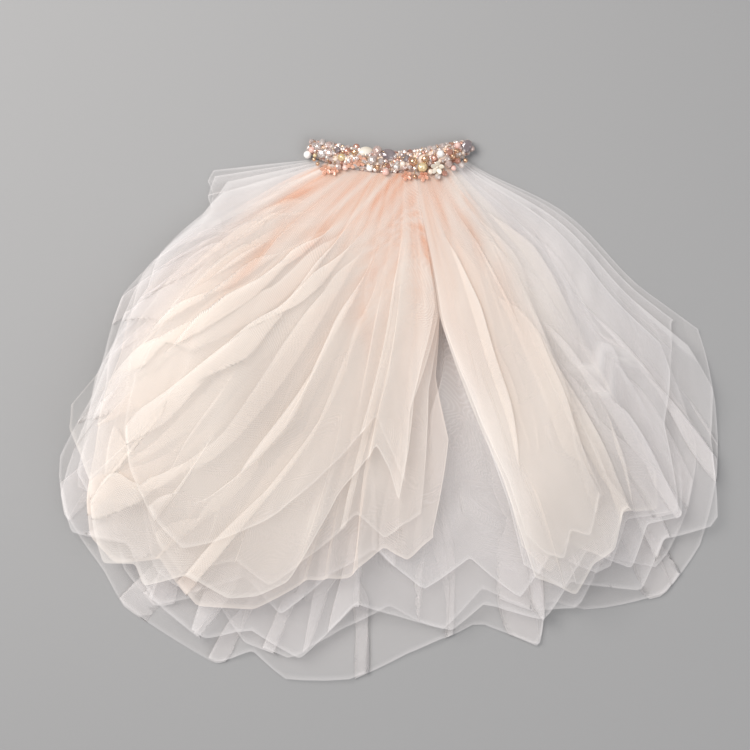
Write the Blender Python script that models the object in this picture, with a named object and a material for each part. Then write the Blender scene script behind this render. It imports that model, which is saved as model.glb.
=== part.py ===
"""Bridal veil of gathered tulle on a beaded comb, laid out as a flat fan.

Every ply of tulle is a thin wall worked out from four things: the fan that
all the plies share, a table of how far the ply reaches at each heading, a
table of its folds, and the layer that it lies in. The comb line is at the
back (+Y), the hem at the front (-Y), and the whole thing rests on z = 0.
"""
from collections import namedtuple
from math import cos, pi, sin

import bmesh
import bpy
import numpy as np

MM = 0.001

# The comb line, from which every gather starts
COMB_SPAN = 131 * MM      # width of the line that the tulle is gathered on
COMB_SAG = 13 * MM        # how far the line's middle dips towards the hem
COMB_REACH = 222 * MM     # distance of the line's ends from the fan's middle line
COMB_MIDDLE = 17.6 * MM   # the line's middle lies this far right of the fan's

# The fan: the gathers spread from the left heading to the right one
LEFT_HEADING = -84.0      # degrees from straight towards the hem
RIGHT_HEADING = 54.0
RIGHT_BOW = 14 * MM       # the right side edge bulges outwards by this much
BOW_LENGTH = 200 * MM     # and is straight again this far from the comb

# The cloth
WALL = 1.0 * MM           # thickness of each ply's wall
LAYER_MARGIN = 1.2 * MM   # room above and below the middle of each wall
SEAM_GAP = 0.3 * MM       # room between the plies and the beaded band
TOOTH_COVER = 2.9 * MM    # the lowest ply passes over the comb's teeth

STEEPEST_FOLD = 0.55      # a fold's height is at most this share of its width
FOLD_GROWTH = 70 * MM     # a fold grows to its height over this length
FAN_LENGTH = 400 * MM     # the length over which a fold drifts sideways
SLANT_START = 150 * MM    # from here to the hem the folds also lean back to the comb
SLANT_GROWTH = 180 * MM

# How the heap of plies thins out towards the edge of the fan
HEAP_CENTRE = (5 * MM, -25 * MM)
HEAP_RADII = (330 * MM, 285 * MM)
EDGE_SHARE = 0.5          # share of the puff that is left at the edge
PUFF_RISE = 190 * MM      # the puff is full this far from the comb
PUFF_AT_COMB = 0.055      # share of the puff beside the comb

# The beaded band and the comb under it
BAND_WIDTH = 19 * MM
BAND_BOTTOM = 2.3 * MM
BAND_TOP = 17.0 * MM
BAND_EDGE = 3.5 * MM      # height at which the arch starts, front and back
ARCH_FULLNESS = 0.33      # the lower, the squarer the arch
BAND_OVERHANG = 5 * MM    # the band passes the gathers at each end
BAND_COLUMNS = 64
BAND_SIDES = 11
COMB_THICKNESS = 2.0 * MM
COMB_WIDTH = 96 * MM
SPINE_WIDTH = 9 * MM
SPINE_STEPS = 16
SPINE_SETBACK = 4 * MM    # from the gathers back to the roots of the teeth
TOOTH_COUNT = 22
TOOTH_WIDTH = 1.7 * MM
TOOTH_LENGTH = 34 * MM

Reach = namedtuple("Reach", "heading reach")            # degrees, mm from the comb
Edge = namedtuple("Edge", "distance share")             # mm from the comb, share of the fan
Fold = namedtuple("Fold", "share width height start drift lean")
Bead = namedtuple("Bead", "along across radius rise")   # share of band, share of width, mm, share
Tuck = namedtuple("Tuck", "share spread distance depth height")    # a soft ridge across the folds
Ply = namedtuple("Ply", "name layer puff slant rows left right reaches folds tucks")
Mound = namedtuple("Mound", "x y radius share")         # mm, mm, mm, extra share of the puff

# Broad soft mounds that the whole heap shares
MOUNDS = (
    Mound(-150, 40, 75, 0.30),
    Mound(-70, -90, 90, 0.22),
    Mound(150, -60, 80, 0.28),
    Mound(60, -150, 70, -0.20),
    Mound(-205, -60, 60, 0.20),
    Mound(215, 30, 60, 0.18),
)

LOWER_BACK = Ply(
    "lower_tier_back", 0, 17 * MM, 0.60, 12,
    left=(Edge(0, 0.0), Edge(400, 0.0)),
    right=(Edge(0, 1.0), Edge(400, 1.0)),
    reaches=(
        Reach(-84, 90), Reach(-80, 100), Reach(-75, 102), Reach(-70, 112), Reach(-66, 130),
        Reach(-63, 182), Reach(-60, 222), Reach(-53, 270), Reach(-49, 306), Reach(-46, 366),
        Reach(-41, 400), Reach(-34, 420), Reach(-30, 440), Reach(-24, 448), Reach(-19, 456),
        Reach(-16, 438), Reach(-12, 456), Reach(-6, 450), Reach(0, 424), Reach(8, 400),
        Reach(12, 420), Reach(14, 432), Reach(16, 392), Reach(20, 412), Reach(28, 426),
        Reach(34, 404),
        Reach(40, 366), Reach(47, 312), Reach(54, 254),
    ),
    folds=(
        Fold(0.032, 0.060, 1.00, 20, 0.000, -1.2), Fold(0.098, 0.056, 0.60, 60, 0.010, -0.9),
        Fold(0.165, 0.078, 1.00, 25, -0.008, -1.3), Fold(0.232, 0.052, 0.70, 120, 0.012, -1.1),
        Fold(0.300, 0.080, 0.95, 15, -0.012, -1.3), Fold(0.372, 0.060, 0.65, 90, 0.010, -1.0),
        Fold(0.445, 0.086, 1.00, 20, 0.012, -1.1), Fold(0.518, 0.058, 0.60, 150, -0.014, -0.8),
        Fold(0.585, 0.072, 0.90, 30, 0.002, 0.8), Fold(0.652, 0.058, 0.75, 80, 0.004, 0.9),
        Fold(0.724, 0.084, 1.00, 20, -0.002, 1.1), Fold(0.792, 0.054, 0.70, 110, 0.008, 1.0),
        Fold(0.862, 0.082, 1.00, 15, 0.008, 1.3), Fold(0.945, 0.074, 0.95, 30, -0.006, 1.2),
    ),
    tucks=(
        Tuck(0.26, 0.05, 300, 26, 0.45), Tuck(0.90, 0.07, 245, 20, 0.60),
        Tuck(0.84, 0.05, 350, 24, 0.40), Tuck(0.40, 0.05, 415, 22, 0.35),
    ),
)

LOWER_FRONT = Ply(
    "lower_tier_front", 1, 14 * MM, 0.65, 12,
    left=(Edge(0, 0.045), Edge(400, 0.045)),
    right=(Edge(0, 0.975), Edge(400, 0.975)),
    reaches=(
        Reach(-78, 84), Reach(-73, 100), Reach(-67, 128), Reach(-62, 190), Reach(-57, 226),
        Reach(-52, 266), Reach(-47, 322), Reach(-43, 384), Reach(-39, 406), Reach(-33, 388),
        Reach(-28, 420), Reach(-21, 438), Reach(-17, 416), Reach(-11, 432), Reach(-6, 380),
        Reach(-1, 388), Reach(5, 402), Reach(9, 382), Reach(15, 408), Reach(19, 382),
        Reach(26, 412), Reach(31, 380), Reach(37, 394), Reach(43, 330), Reach(48, 300),
        Reach(52, 232),
    ),
    folds=(
        Fold(0.050, 0.080, 1.00, 25, 0.010, -1.1), Fold(0.130, 0.066, 0.70, 70, -0.010, -1.2),
        Fold(0.208, 0.088, 1.00, 20, 0.012, -1.2), Fold(0.288, 0.062, 0.65, 130, -0.010, -1.0),
        Fold(0.368, 0.094, 1.00, 15, 0.012, -1.2), Fold(0.452, 0.066, 0.75, 60, -0.008, -0.9),
        Fold(0.535, 0.088, 0.95, 25, -0.012, -0.8), Fold(0.612, 0.064, 0.70, 100, 0.012, 0.8),
        Fold(0.690, 0.086, 1.00, 20, -0.008, 1.1), Fold(0.768, 0.062, 0.75, 50, 0.012, 1.0),
        Fold(0.850, 0.092, 1.00, 15, 0.008, 1.2), Fold(0.945, 0.084, 0.90, 40, -0.008, 1.1),
    ),
    tucks=(
        Tuck(0.89, 0.08, 225, 20, 0.55), Tuck(0.20, 0.05, 330, 24, 0.40),
        Tuck(0.74, 0.05, 370, 20, 0.40),
    ),
)

LEFT_BACK = Ply(
    "upper_tier_left_back", 2, 12 * MM, 0.65, 11,
    left=(Edge(0, 0.075), Edge(130, 0.110), Edge(230, 0.170), Edge(400, 0.215)),
    right=(Edge(0, 0.662), Edge(128, 0.662), Edge(180, 0.652), Edge(235, 0.660), Edge(313, 0.634)),
    reaches=(
        Reach(-56, 214), Reach(-52, 262), Reach(-48, 322), Reach(-43, 376), Reach(-38, 398),
        Reach(-33, 406), Reach(-29, 384), Reach(-23, 410), Reach(-17, 396), Reach(-12, 362),
        Reach(-7, 354), Reach(-3, 326), Reach(0, 338), Reach(4, 316),
    ),
    folds=(
        Fold(0.062, 0.110, 0.90, 20, 0.010, -1.1), Fold(0.175, 0.090, 0.70, 80, -0.012, -1.2),
        Fold(0.292, 0.124, 1.00, 15, 0.014, -1.2), Fold(0.410, 0.090, 0.65, 110, -0.010, -1.0),
        Fold(0.530, 0.126, 1.00, 20, 0.012, -1.1), Fold(0.645, 0.092, 0.75, 60, -0.010, -0.9),
        Fold(0.765, 0.120, 1.00, 15, 0.010, -0.8), Fold(0.905, 0.110, 0.90, 30, -0.006, -0.6),
    ),
    tucks=(Tuck(0.18, 0.07, 290, 22, 0.45), Tuck(0.62, 0.06, 350, 20, 0.35)),
)

LEFT_FRONT = Ply(
    "upper_tier_left_front", 3, 11 * MM, 0.70, 11,
    left=(Edge(0, 0.110), Edge(130, 0.150), Edge(230, 0.245), Edge(400, 0.270)),
    right=(Edge(0, 0.655), Edge(128, 0.655), Edge(198, 0.618), Edge(242, 0.610), Edge(283, 0.600)),
    reaches=(
        Reach(-47, 330), Reach(-44, 346), Reach(-41, 350), Reach(-37, 388), Reach(-33, 408),
        Reach(-29, 408), Reach(-25, 386), Reach(-20, 392), Reach(-16, 374), Reach(-12, 378),
        Reach(-7, 366), Reach(-4, 328), Reach(-1, 284),
    ),
    folds=(
        Fold(0.075, 0.140, 1.00, 20, 0.010, -1.1), Fold(0.205, 0.110, 0.70, 70, -0.012, -1.0),
        Fold(0.345, 0.150, 1.00, 15, 0.016, -1.2), Fold(0.480, 0.110, 0.65, 120, -0.010, -1.0),
        Fold(0.610, 0.148, 1.00, 20, 0.012, -0.9), Fold(0.745, 0.112, 0.80, 50, -0.012, -0.8),
        Fold(0.890, 0.140, 1.00, 25, -0.010, -0.6),
    ),
    tucks=(Tuck(0.15, 0.08, 260, 24, 0.35), Tuck(0.55, 0.07, 330, 20, 0.30)),
)

RIGHT_BACK = Ply(
    "upper_tier_right_back", 2, 12 * MM, 0.65, 11,
    left=(Edge(0, 0.668), Edge(128, 0.668), Edge(200, 0.700), Edge(300, 0.712)),
    right=(Edge(0, 0.930), Edge(120, 0.910), Edge(330, 0.880)),
    reaches=(
        Reach(14, 352), Reach(18, 384), Reach(22, 358), Reach(26, 388), Reach(30, 360),
        Reach(34, 370), Reach(38, 326),
    ),
    folds=(
        Fold(0.120, 0.220, 0.90, 25, 0.010, 0.7), Fold(0.365, 0.240, 1.00, 15, -0.016, 1.0),
        Fold(0.620, 0.220, 0.75, 60, 0.010, 1.0), Fold(0.885, 0.260, 1.00, 20, 0.010, 1.0),
    ),
    tucks=(Tuck(0.70, 0.12, 250, 22, 0.35),),
)

RIGHT_FRONT = Ply(
    "upper_tier_right_front", 3, 11 * MM, 0.70, 11,
    left=(Edge(0, 0.672), Edge(128, 0.668), Edge(191, 0.690), Edge(277, 0.712), Edge(364, 0.718)),
    right=(Edge(0, 0.880), Edge(122, 0.832), Edge(200, 0.818), Edge(328, 0.812)),
    reaches=(
        Reach(15, 364), Reach(17, 376), Reach(19, 390), Reach(22, 370), Reach(25, 366),
        Reach(28, 338),
    ),
    folds=(
        Fold(0.160, 0.300, 1.00, 20, 0.014, 0.8), Fold(0.490, 0.330, 0.80, 40, -0.020, 1.0),
        Fold(0.860, 0.340, 1.00, 15, 0.010, 0.9),
    ),
    tucks=(Tuck(0.55, 0.20, 300, 22, 0.30),),
)

PLIES = (LOWER_BACK, LOWER_FRONT, LEFT_BACK, LEFT_FRONT, RIGHT_BACK, RIGHT_FRONT)
LAYER_PUFFS = (17 * MM, 14 * MM, 12 * MM, 11 * MM)

# The larger beads and petals of the band
BEADS = (
    Bead(0.03, 0.50, 4.5, 1.0), Bead(0.07, 0.20, 3.5, 1.0), Bead(0.10, 0.75, 4.0, 0.9),
    Bead(0.13, 0.40, 5.0, 0.8), Bead(0.17, 0.70, 4.0, 1.0), Bead(0.20, 0.25, 5.5, 0.6),
    Bead(0.25, 0.60, 3.5, 1.0), Bead(0.28, 0.30, 4.0, 0.9), Bead(0.32, 0.72, 3.5, 1.0),
    Bead(0.36, 0.25, 5.5, 0.6), Bead(0.40, 0.66, 6.0, 0.8), Bead(0.45, 0.30, 3.5, 1.0),
    Bead(0.50, 0.62, 5.6, 0.8), Bead(0.55, 0.28, 3.5, 1.0), Bead(0.58, 0.68, 3.5, 1.0),
    Bead(0.62, 0.35, 4.0, 0.9), Bead(0.66, 0.66, 3.5, 1.0), Bead(0.70, 0.30, 5.5, 0.6),
    Bead(0.74, 0.65, 4.0, 0.9), Bead(0.78, 0.30, 4.0, 1.0), Bead(0.82, 0.60, 5.0, 0.8),
    Bead(0.86, 0.28, 3.5, 1.0), Bead(0.89, 0.70, 4.0, 0.9), Bead(0.93, 0.40, 4.5, 0.9),
    Bead(0.97, 0.62, 4.0, 1.0),
)

Finish = namedtuple("Finish", "name colour roughness metallic alpha")
TULLE = Finish("tulle", (0.93, 0.84, 0.79), 0.85, 0.0, 0.75)
BLUSH = Finish("blush_tulle", (0.95, 0.76, 0.66), 0.85, 0.0, 0.85)
PEARL = Finish("pearl_beads", (0.90, 0.78, 0.66), 0.25, 0.0, 1.0)
GILT = Finish("gilt_comb", (0.83, 0.62, 0.36), 0.35, 1.0, 1.0)


def smooth(value):
    """Ease a share from 0 to 1, flat at both ends."""
    share = np.clip(value, 0.0, 1.0)
    return share * share * (3.0 - 2.0 * share)


def comb_line(share):
    """The point of the comb line at a share of its width."""
    x = COMB_MIDDLE + COMB_SPAN * (share - 0.5)
    y = COMB_REACH - COMB_SAG * (1.0 - (2.0 * share - 1.0) ** 2)
    return x, y


def heading_at(share):
    """The heading of the gather that starts at a share of the comb, in radians."""
    return np.radians(LEFT_HEADING + (RIGHT_HEADING - LEFT_HEADING) * share)


def fan_point(share, distance):
    """The plan point that lies a distance out along the gather at a share of the fan."""
    x, y = comb_line(share)
    heading = heading_at(share)
    bow = RIGHT_BOW * share ** 4 * np.sin(pi * np.clip(distance / BOW_LENGTH, 0, 1)) ** 2
    return (x + distance * np.sin(heading) + bow * np.cos(heading),
            y - distance * np.cos(heading) + bow * np.sin(heading))


def comb_distance(x, y):
    """The distance of a plan point from the comb line."""
    half = 0.5 * COMB_SPAN
    along = np.clip(x - COMB_MIDDLE, -half, half)
    middle_y = COMB_REACH - COMB_SAG * (1.0 - (along / half) ** 2)
    return np.hypot(x - COMB_MIDDLE - along, y - middle_y)


def puff_share(x, y):
    """The share of its puff that the heap keeps at a plan point."""
    spread = np.hypot((x - HEAP_CENTRE[0]) / HEAP_RADII[0], (y - HEAP_CENTRE[1]) / HEAP_RADII[1])
    share = 1.0 - (1.0 - EDGE_SHARE) * smooth((spread - 0.35) / 0.65)
    for mound in MOUNDS:
        away = np.hypot(x - mound.x * MM, y - mound.y * MM) / (mound.radius * MM)
        share = share * (1.0 + mound.share * np.exp(-away * away))
    rise = PUFF_AT_COMB + (1.0 - PUFF_AT_COMB) * smooth(comb_distance(x, y) / PUFF_RISE) ** 0.8
    return share * rise


def layer_floor(layer, x, y):
    """The height of a layer's middle surface where it has no fold."""
    share = puff_share(x, y)
    cover = TOOTH_COVER * (1.0 - smooth((comb_distance(x, y) - 42 * MM) / (40 * MM)))
    height = 0.5 * WALL + cover
    for puff in LAYER_PUFFS[:layer]:
        height = height + 2.0 * LAYER_MARGIN + puff * share
    return height


def table(rows, at, scale=1.0):
    """Read a two-column table at given places, with straight runs between its rows."""
    keys = [row[0] * scale for row in rows]
    return np.interp(at, keys, [row[1] for row in rows])


def fold_height(ply, across, distance, room):
    """The share of the puff that the folds take at each point, and how far they lean.

    The room is the width of the ply there as a multiple of its puff. A fold is never
    taller than a set share of its own width, so that its sides keep clear of each other.
    """
    height = np.zeros_like(across)
    weight = np.full_like(across, 1e-6)
    lean = np.zeros_like(across)
    for fold in ply.folds:
        middle = fold.share + fold.drift * distance / FAN_LENGTH
        offset = np.clip((across - middle) / (0.5 * fold.width), -1.0, 1.0)
        tallest = np.minimum(fold.height, STEEPEST_FOLD * fold.width * room)
        rise = tallest * np.cos(0.5 * pi * offset) ** 2
        rise = rise * smooth((distance - fold.start * MM) / FOLD_GROWTH)
        height = np.maximum(height, rise)
        weight = weight + rise ** 2
        lean = lean + rise ** 2 * fold.lean
    lean = lean / weight * height
    for tuck in ply.tucks:
        away = ((across - tuck.share) / tuck.spread) ** 2
        away = away + ((distance - tuck.distance * MM) / (tuck.depth * MM)) ** 2
        height = height + tuck.height * np.exp(-away) * (1.0 - height)
    return height, lean


def ply_columns(ply):
    """The places across a ply where its columns of points stand, at crests, flanks and feet."""
    places = {0.0, 1.0}
    for fold in ply.folds:
        for step in (-0.5, -0.25, 0.0, 0.25, 0.5):
            places.add(round(fold.share + step * fold.width, 5))
    ordered = sorted(place for place in places if 0.0 <= place <= 1.0)
    kept = [ordered[0]]
    for place in ordered[1:]:
        if place - kept[-1] > 0.004:
            kept.append(place)
    kept[-1] = 1.0
    return np.array(kept)


def ply_surface(ply, across, along):
    """The middle surface of a ply at a grid of shares across it and along its gathers."""
    across, along = np.meshgrid(across, along)
    hem_share = table(ply.left, 1.0) + (table(ply.right, 1.0) - table(ply.left, 1.0)) * across
    hem_heading = np.degrees(heading_at(hem_share))
    distance = SEAM_GAP + along * (table(ply.reaches, hem_heading) * MM - SEAM_GAP)
    left = table(ply.left, distance, MM)
    right = table(ply.right, distance, MM)
    share = left + (right - left) * across
    x, y = fan_point(share, distance)
    puff = ply.puff * puff_share(x, y)
    spread = np.radians(RIGHT_HEADING - LEFT_HEADING)
    room = (right - left) * (COMB_SPAN + distance * spread) / puff
    height, lean = fold_height(ply, across, distance, room)
    heading = heading_at(share)
    sideways = lean * puff
    inwards = ply.slant * height * puff * smooth((distance - SLANT_START) / SLANT_GROWTH)
    x = x + sideways * np.cos(heading) - inwards * np.sin(heading)
    y = y + sideways * np.sin(heading) + inwards * np.cos(heading)
    z = layer_floor(ply.layer, x, y) + height * ply.puff * puff_share(x, y)
    return np.stack((x, y, z), axis=-1)


def grid_normals(points):
    """The unit normals of a grid of points, upwards."""
    normals = np.cross(np.gradient(points, axis=1), -np.gradient(points, axis=0))
    return normals / np.linalg.norm(normals, axis=-1, keepdims=True)


def add_object(name, vertices, faces, finish):
    """Make a named object with one material from its points and faces."""
    mesh = bpy.data.meshes.new(name)
    mesh.from_pydata([tuple(point) for point in vertices], [], faces)
    work = bmesh.new()
    work.from_mesh(mesh)
    bmesh.ops.triangulate(work, faces=work.faces)
    bmesh.ops.recalc_face_normals(work, faces=work.faces)
    work.to_mesh(mesh)
    work.free()
    mesh.shade_smooth()
    mesh.set_sharp_from_angle(angle=0.7)
    mesh.materials.append(make_material(finish))
    thing = bpy.data.objects.new(name, mesh)
    bpy.context.collection.objects.link(thing)
    return thing


def make_material(finish):
    """The plain material of a finish, made once."""
    material = bpy.data.materials.get(finish.name)
    if material is None:
        material = bpy.data.materials.new(finish.name)
        material.use_nodes = True
        shader = material.node_tree.nodes["Principled BSDF"]
        shader.inputs["Base Color"].default_value = (*finish.colour, 1.0)
        shader.inputs["Roughness"].default_value = finish.roughness
        shader.inputs["Metallic"].default_value = finish.metallic
        shader.inputs["Alpha"].default_value = finish.alpha
    return material


def shell_faces(rows, columns):
    """The faces of a closed wall whose outer grid of points is followed by its inner grid."""
    faces = []
    inner = rows * columns
    for row in range(rows - 1):
        for column in range(columns - 1):
            corner = row * columns + column
            ring = (corner, corner + columns, corner + columns + 1, corner + 1)
            faces.append(ring)
            faces.append(tuple(inner + point for point in reversed(ring)))
    border = [column for column in range(columns)]
    border += [row * columns + columns - 1 for row in range(1, rows)]
    border += [(rows - 1) * columns + column for column in range(columns - 2, -1, -1)]
    border += [row * columns for row in range(rows - 2, 0, -1)]
    for here, there in zip(border, border[1:] + border[:1]):
        faces.append((here, there, inner + there, inner + here))
    return faces


def build_ply(ply, finish):
    """One ply of tulle as a closed wall."""
    across = ply_columns(ply)
    along = np.linspace(0.0, 1.0, ply.rows + 1)
    middle = ply_surface(ply, across, along)
    normals = grid_normals(middle)
    upper = middle + 0.5 * WALL * normals
    lower = middle - 0.5 * WALL * normals
    lower[..., 2] = np.maximum(lower[..., 2], 0.0)
    points = np.concatenate((upper.reshape(-1, 3), lower.reshape(-1, 3)))
    return add_object(ply.name, points, shell_faces(len(along), len(across)), finish)


def band_frame(along):
    """A point of the beaded band's middle line and the way across it, towards the back."""
    whole = COMB_SPAN + 2.0 * BAND_OVERHANG
    share = (along * whole - BAND_OVERHANG) / COMB_SPAN
    x, y = comb_line(share)
    slope = 4.0 * COMB_SAG * (2.0 * share - 1.0) / COMB_SPAN
    across = np.array((-slope, 1.0)) / np.hypot(slope, 1.0)
    return np.array((x, y + 0.5 * BAND_WIDTH + SEAM_GAP)), across


def build_band():
    """The beaded band: an arched bar whose outer points rise over the larger beads."""
    points = []
    for column in range(BAND_COLUMNS + 1):
        along = column / BAND_COLUMNS
        middle, across = band_frame(along)
        taper = 0.45 + 0.55 * sin(pi * min(1.0, 0.04 + min(along, 1.0 - along) * 5.0) / 2.0)
        half = 0.5 * BAND_WIDTH * taper
        top = BAND_BOTTOM + (BAND_TOP - BAND_BOTTOM) * taper
        for side in range(BAND_SIDES + 1):
            turn = pi * side / BAND_SIDES
            arch = max(0.0, sin(turn))
            height = BAND_EDGE + (top - BAND_EDGE) * arch ** ARCH_FULLNESS
            height = height + bead_rise(along, 0.5 - 0.5 * cos(turn)) * arch ** 0.5
            points.append((*(middle - across * half * cos(turn)), height))
        points.append((*(middle + across * half * 0.92), BAND_BOTTOM))
        points.append((*(middle - across * half * 0.92), BAND_BOTTOM))
    ring = BAND_SIDES + 3
    faces = []
    for column in range(BAND_COLUMNS):
        for side in range(ring):
            here = column * ring + side
            beside = column * ring + (side + 1) % ring
            faces.append((here, beside, beside + ring, here + ring))
    faces.append(tuple(range(ring)))
    faces.append(tuple(BAND_COLUMNS * ring + side for side in range(ring - 1, -1, -1)))
    return add_object("bead_band", points, faces, PEARL)


def bead_rise(along, across):
    """How far the beads lift the band's outer surface at a place on it."""
    length = COMB_SPAN + 2.0 * BAND_OVERHANG
    rise = 0.0
    for bead in BEADS:
        radius = bead.radius * MM
        away = np.hypot((along - bead.along) * length, (across - bead.across) * BAND_WIDTH)
        if away < radius:
            rise = max(rise, bead.rise * (radius ** 2 - away ** 2) ** 0.5)
    return rise


def build_comb():
    """The flat comb under the band, with its teeth under the gathers."""
    pitch = (COMB_WIDTH - TOOTH_WIDTH) / (TOOTH_COUNT - 1)
    left = COMB_MIDDLE - 0.5 * COMB_WIDTH
    outline = []
    for tooth in range(TOOTH_COUNT):
        near = left + tooth * pitch
        far = near + TOOTH_WIDTH
        root = spine_edge(near + 0.5 * TOOTH_WIDTH)
        tip = root - TOOTH_LENGTH
        taper = 0.3 * TOOTH_WIDTH
        outline += [(near, root), (near + taper, tip), (far - taper, tip), (far, root)]
    for step in range(SPINE_STEPS, -1, -1):
        x = left + step * COMB_WIDTH / SPINE_STEPS
        outline.append((x, spine_edge(x) + SPINE_WIDTH))
    count = len(outline)
    points = [(x, y, height) for height in (COMB_THICKNESS, 0.0) for x, y in outline]
    faces = [tuple(range(count)), tuple(range(2 * count - 1, count - 1, -1))]
    for here in range(count):
        there = (here + 1) % count
        faces.append((here, there, count + there, count + here))
    return add_object("comb", points, faces, GILT)


def spine_edge(x):
    """The comb spine's edge on the side of the teeth, just behind the gathers."""
    return comb_line((x - COMB_MIDDLE) / COMB_SPAN + 0.5)[1] + SPINE_SETBACK


def stand_on_origin(things):
    """Shift every piece so that the whole box's bottom centre is at the origin."""
    corners = np.concatenate([mesh_points(thing) for thing in things])
    low, high = corners.min(axis=0), corners.max(axis=0)
    shift = np.array((-0.5 * (low[0] + high[0]), -0.5 * (low[1] + high[1]), -low[2]))
    for thing in things:
        thing.data.vertices.foreach_set("co", (mesh_points(thing) + shift).ravel())
        thing.data.update()


def mesh_points(thing):
    """The points of an object's mesh as rows of numbers."""
    values = np.empty(len(thing.data.vertices) * 3)
    thing.data.vertices.foreach_get("co", values)
    return values.reshape(-1, 3)


def main():
    """Build the veil."""
    for thing in list(bpy.data.objects):
        bpy.data.objects.remove(thing, do_unlink=True)
    things = [build_ply(ply, TULLE if ply.layer < 2 else BLUSH) for ply in PLIES]
    things.append(build_band())
    things.append(build_comb())
    stand_on_origin(things)


main()
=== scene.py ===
"""Looks of the bridal veil: sheer gathered tulle, a beaded headpiece and its comb.

The solids of the frame stay where they are. Each ply of tulle is remade as a
fine single sheet on the form of its solid, the beaded band is remade bead by
bead, and the comb keeps its solid and gets a gilt finish.
"""
import logging
from dataclasses import dataclass, field
from enum import Enum
from math import cos, pi, radians, sin, tau

import bpy
import numpy as np
from mathutils import Matrix, Vector


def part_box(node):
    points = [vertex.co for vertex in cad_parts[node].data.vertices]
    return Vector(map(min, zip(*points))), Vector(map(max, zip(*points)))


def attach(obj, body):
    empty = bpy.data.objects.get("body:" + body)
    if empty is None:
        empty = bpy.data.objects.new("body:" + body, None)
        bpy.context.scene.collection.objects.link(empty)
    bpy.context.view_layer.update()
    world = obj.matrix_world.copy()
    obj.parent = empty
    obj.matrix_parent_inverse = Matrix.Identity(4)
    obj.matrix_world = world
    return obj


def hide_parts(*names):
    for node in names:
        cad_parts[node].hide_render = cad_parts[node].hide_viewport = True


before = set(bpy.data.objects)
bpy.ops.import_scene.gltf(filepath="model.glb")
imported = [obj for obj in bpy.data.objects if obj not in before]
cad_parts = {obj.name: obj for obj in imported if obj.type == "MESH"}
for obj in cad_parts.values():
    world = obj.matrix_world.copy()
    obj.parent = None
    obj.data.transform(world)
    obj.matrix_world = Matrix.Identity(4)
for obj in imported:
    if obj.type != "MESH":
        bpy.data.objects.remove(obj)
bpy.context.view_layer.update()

LOG = logging.getLogger("veil")
MM = 0.001
COMB_FRONT = 179.04 * MM  # the y of the comb's front edge before the frame's shift
LATTICE = (64, 512)  # rows and columns of random patches before they repeat
WIRE_TURNS = 26
WIRE_STEPS = 24

Colour = tuple[float, float, float]
Point = tuple[float, float, float]


class Held(Enum):
    """How a sheet of cloth is held."""

    GATHERED = "gathered"


class Slot(Enum):
    """The record's material slots."""

    IVORY = "ivory_tulle"
    BLUSH = "blush_tulle"
    BEADS = "beads"
    GILT = "gilt"


class Gem(Enum):
    """The kinds of bead on the headpiece."""

    PEARL = "pearl"
    CRYSTAL = "crystal"
    CABOCHON = "cabochon"
    STONE = "stone"
    FLOWER = "flower"


# Small helpers for node trees and meshes


def smooth(value: np.ndarray | float) -> np.ndarray:
    """Ease a share from 0 to 1, flat at both ends.

    Args:
        value: The share, clipped to 0 and 1.

    Returns:
        The eased share.
    """
    share = np.clip(value, 0.0, 1.0)
    return share * share * (3.0 - 2.0 * share)


def ridge(offset: np.ndarray, softness: float) -> np.ndarray:
    """The height of a folded ridge with flat sides and a softened crest.

    Args:
        offset: Distance from the crest, in half widths.
        softness: Radius of the crest, in half widths.

    Returns:
        The height, 1 at the crest and 0 from one half width on.
    """
    away = np.minimum(np.abs(offset), 1.0)
    rounded = np.sqrt(away ** 2 + softness ** 2) - softness
    return 1.0 - rounded / (np.sqrt(1.0 + softness ** 2) - softness)


def cloudy(over: np.ndarray, down: np.ndarray, rng: np.random.Generator) -> np.ndarray:
    """Soft random patches, one to each unit of both coordinates.

    Args:
        over: First coordinates.
        down: Second coordinates.
        rng: Random numbers for the patches.

    Returns:
        Values from 0 to 1.
    """
    lattice = rng.uniform(size=LATTICE)
    column, row = np.floor(over).astype(int), np.floor(down).astype(int)
    right, below = smooth(over - column), smooth(down - row)
    ends = []
    for line in (row % LATTICE[0], (row + 1) % LATTICE[0]):
        first, second = lattice[line, column % LATTICE[1]], lattice[line, (column + 1) % LATTICE[1]]
        ends.append(first * (1.0 - right) + second * right)
    return ends[0] * (1.0 - below) + ends[1] * below


def link(tree: bpy.types.NodeTree, source: bpy.types.NodeSocket, target: bpy.types.NodeSocket) -> None:
    """Join two sockets of a tree."""
    tree.links.new(source, target)


def add_node(tree: bpy.types.NodeTree, kind: str, **settings: object) -> bpy.types.Node:
    """Add a node and set its properties.

    Args:
        tree: The tree that gets the node.
        kind: The node's type name.
        **settings: Properties of the node and their values.

    Returns:
        The new node.
    """
    node = tree.nodes.new(kind)
    for name, value in settings.items():
        setattr(node, name, value)
    return node


def maths(tree: bpy.types.NodeTree, operation: str, *values: object) -> bpy.types.NodeSocket:
    """Add a Math node.

    Args:
        tree: The tree that gets the node.
        operation: The operation's name.
        *values: A socket or a number for each input.

    Returns:
        The node's output.
    """
    node = add_node(tree, "ShaderNodeMath", operation=operation)
    for place, value in enumerate(values):
        if isinstance(value, bpy.types.NodeSocket):
            link(tree, value, node.inputs[place])
        else:
            node.inputs[place].default_value = value
    return node.outputs[0]


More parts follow.
